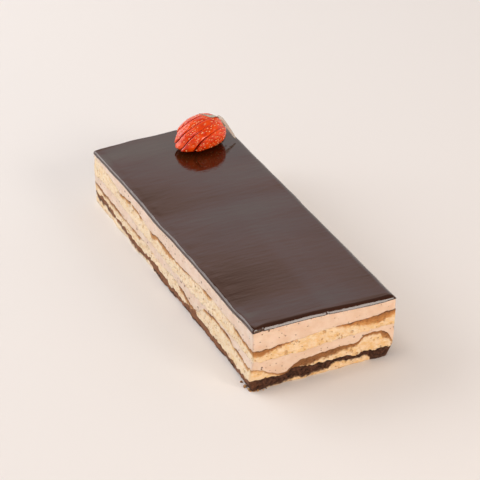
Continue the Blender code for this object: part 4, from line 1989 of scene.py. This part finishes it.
UPPER_SOAK = Soak(
    front=(
        (0, 4.2, 1, 0.25), (5, 3.6, 1, 0.25), (10, 2.3, 0.95, 0.2), (15, 1.7, 0.9, 0.2),
        (20, 1.2, 0.85, 0.1), (26, 0.5, 0.4, 0), (29, 0, 0, 0), (46, 0, 0, 0), (50, 1.2, 0.8, 0),
        (55, 2.0, 0.85, 0), (60, 2.6, 0.85, 0), (65, 3.8, 0.9, 0), (70, 4.8, 0.9, 0),
        (85, 5.2, 0.95, 0),
    ),
    left=(
        (0, 2.8, 0.9, 0), (20, 2.2, 0.8, 0), (26, 1.2, 0.35, 0), (50, 1.2, 0.35, 0),
        (56, 2.2, 0.8, 0), (62, 2.2, 0.8, 0), (66, 1.1, 0.3, 0), (80, 1.1, 0.4, 0),
        (84, 1.4, 0.75, 0), (104, 1.5, 0.8, 0), (108, 2.8, 0.85, 0), (118, 3.6, 0.8, 0),
        (124, 2.0, 0.85, 0), (135, 3.6, 0.9, 0), (140, 1.3, 0.35, 0), (150, 1.3, 0.35, 0),
        (153, 1.9, 0.9, 0), (163, 1.9, 0.9, 0), (166, 1.3, 0.4, 0), (169, 2.3, 0.9, 0),
        (181, 2.3, 0.9, 0), (188, 1.2, 0.3, 0), (210, 1.2, 0.3, 0), (226, 1.6, 0.5, 0),
    ),
)
MIDDLE_SOAK = Soak(
    front=(
        (0, 1.0, 0.6, 0.1), (15, 1.0, 0.8, 0.4), (19, 4.2, 1, 0.9), (35, 4.8, 1, 0.85),
        (40, 4.0, 1, 0.75), (50, 3.6, 1, 0.65), (55, 2.7, 0.95, 0.5), (60, 2.2, 0.95, 0.45),
        (65, 1.9, 0.95, 0.4), (76, 2.1, 0.95, 0.4), (78, 5.0, 0.85, 0.3), (80, 4.6, 0.85, 0.3),
        (82, 2.8, 0.9, 0.3), (85, 2.2, 0.8, 0.3),
    ),
    left=(
        (0, 1.4, 0.5, 0), (5, 2.1, 0.9, 0.1), (20, 2.1, 0.9, 0.1), (25, 1.1, 0.4, 0),
        (30, 1.8, 0.9, 0.1), (62, 1.8, 0.9, 0.1), (65, 1.0, 0.1, 0), (72, 1.0, 0.1, 0),
        (76, 2.4, 0.95, 0.3), (95, 2.4, 0.95, 0.3), (102, 1.2, 0.3, 0), (118, 1.2, 0.3, 0),
        (125, 1.2, 0.3, 0), (150, 1.2, 0.3, 0), (155, 2.1, 0.9, 0.2), (165, 2.1, 0.9, 0.2),
        (170, 1.9, 0.6, 0.1), (180, 1.9, 0.6, 0.1), (190, 2.3, 0.95, 0.4), (222, 2.3, 0.95, 0.4),
        (226, 1.9, 0.8, 0.3),
    ),
    hidden_dark=0.3,
)
GOLDEN_SIDES: dict[str, Points] = {
    "front": ((0, 0.50), (85, 0.48)),
    "left": ((0, 0.27), (120, 0.14), (226, 0.26)),
    "right": ((0, 0.5), (226, 0.5)),
    "back": ((0, 0.5), (85, 0.5)),
}
# Painted light on the ganache: its share of the lighter colour on each side, most along the left.
PAINTED_LIT_SIDES: dict[str, Points] = {
    "front": ((0, 0.0), (85, 0.0)),
    "left": ((0, 0.5), (6, 0.85), (226, 0.85)),
    "right": ((0, 0.1), (226, 0.1)),
    "back": ((0, 0.1), (85, 0.1)),
}
BASE_SOAK = Soak(
    front=(
        (0, 9, 1, 1.0), (5, 9, 0.95, 0.9), (9, 1.7, 0.95, 0.9), (20, 1.9, 0.95, 0.8),
        (27, 1.2, 0.9, 0.7), (36, 1.6, 0.9, 0.7), (43, 0.5, 0.9, 0.6), (70, 0.5, 0.9, 0.6),
        (73, 9, 0.95, 0.9), (85, 9, 1, 1.0),
    ),
    left=(
        (0, 9, 1, 0.6), (6, 2.2, 1, 0.1), (112, 2.2, 1, 0.1), (124, 1.4, 0.9, 0.3),
        (150, 1.0, 0.8, 0.3), (226, 1.2, 0.8, 0.3),
    ),
    hidden_depth=1.2,
    hidden_dark=0.7,
)


def layers() -> list[Layer]:
    """The layers under the glaze, from the top down.

    Returns:
        The layers.
    """
    cream, crumb = CreamFinish("coffee buttercream"), SpongeFinish("almond sponge")
    stained = SpongeFinish(
        "chocolate-stained sponge", toffee=(0.30, 0.14, 0.055), soaked=(0.11, 0.045, 0.022),
        edge=(0.035, 0.013, 0.007),
    )
    dark = GanacheFinish()
    dipped = {"soak": UPPER_SOAK, "golden": GOLDEN_SIDES}
    drenched = {"soak": MIDDLE_SOAK, "golden": GOLDEN_SIDES}
    base = {"soak": BASE_SOAK, "golden": GOLDEN_SIDES}
    # The ganache's looks: painted light, most along the left side.
    painted_lit = {"golden": PAINTED_LIT_SIDES}
    rows: tuple[tuple[str, Slot, Any, Callable[[Array, Array], Array], dict[str, Any]], ...] = (
        ("buttercream_top", Slot.BUTTERCREAM, cream, cream_relief, {}),
        ("sponge_top", Slot.SPONGE, crumb, sponge_relief, dipped),
        ("buttercream_lower", Slot.BUTTERCREAM, cream, cream_relief, {}),
        ("sponge_middle", Slot.SPONGE, crumb, sponge_relief, drenched),
        ("ganache", Slot.GANACHE, dark, ganache_relief, painted_lit),
        ("sponge_base", Slot.SPONGE, stained, base_relief, base),
    )
    faces = list(Face)[1:]
    return [
        Layer(name, top, foot, slot, finish, relief, **looks)
        for (name, slot, finish, relief, looks), top, foot in zip(rows, faces, faces[1:])
    ]


def main() -> None:
    """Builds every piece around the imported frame."""
    logging.basicConfig(level=logging.INFO, format="%(name)s: %(message)s")
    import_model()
    block = Block()
    Studio().build()
    Glaze().build(block)
    for layer in layers():
        layer.build(block)
    berry = Strawberry()
    berry.build(block)
    Calyx().build(block, berry)
    Crumbs().build(block)
    bpy.context.view_layer.update()


if __name__ == "__main__":
    main()
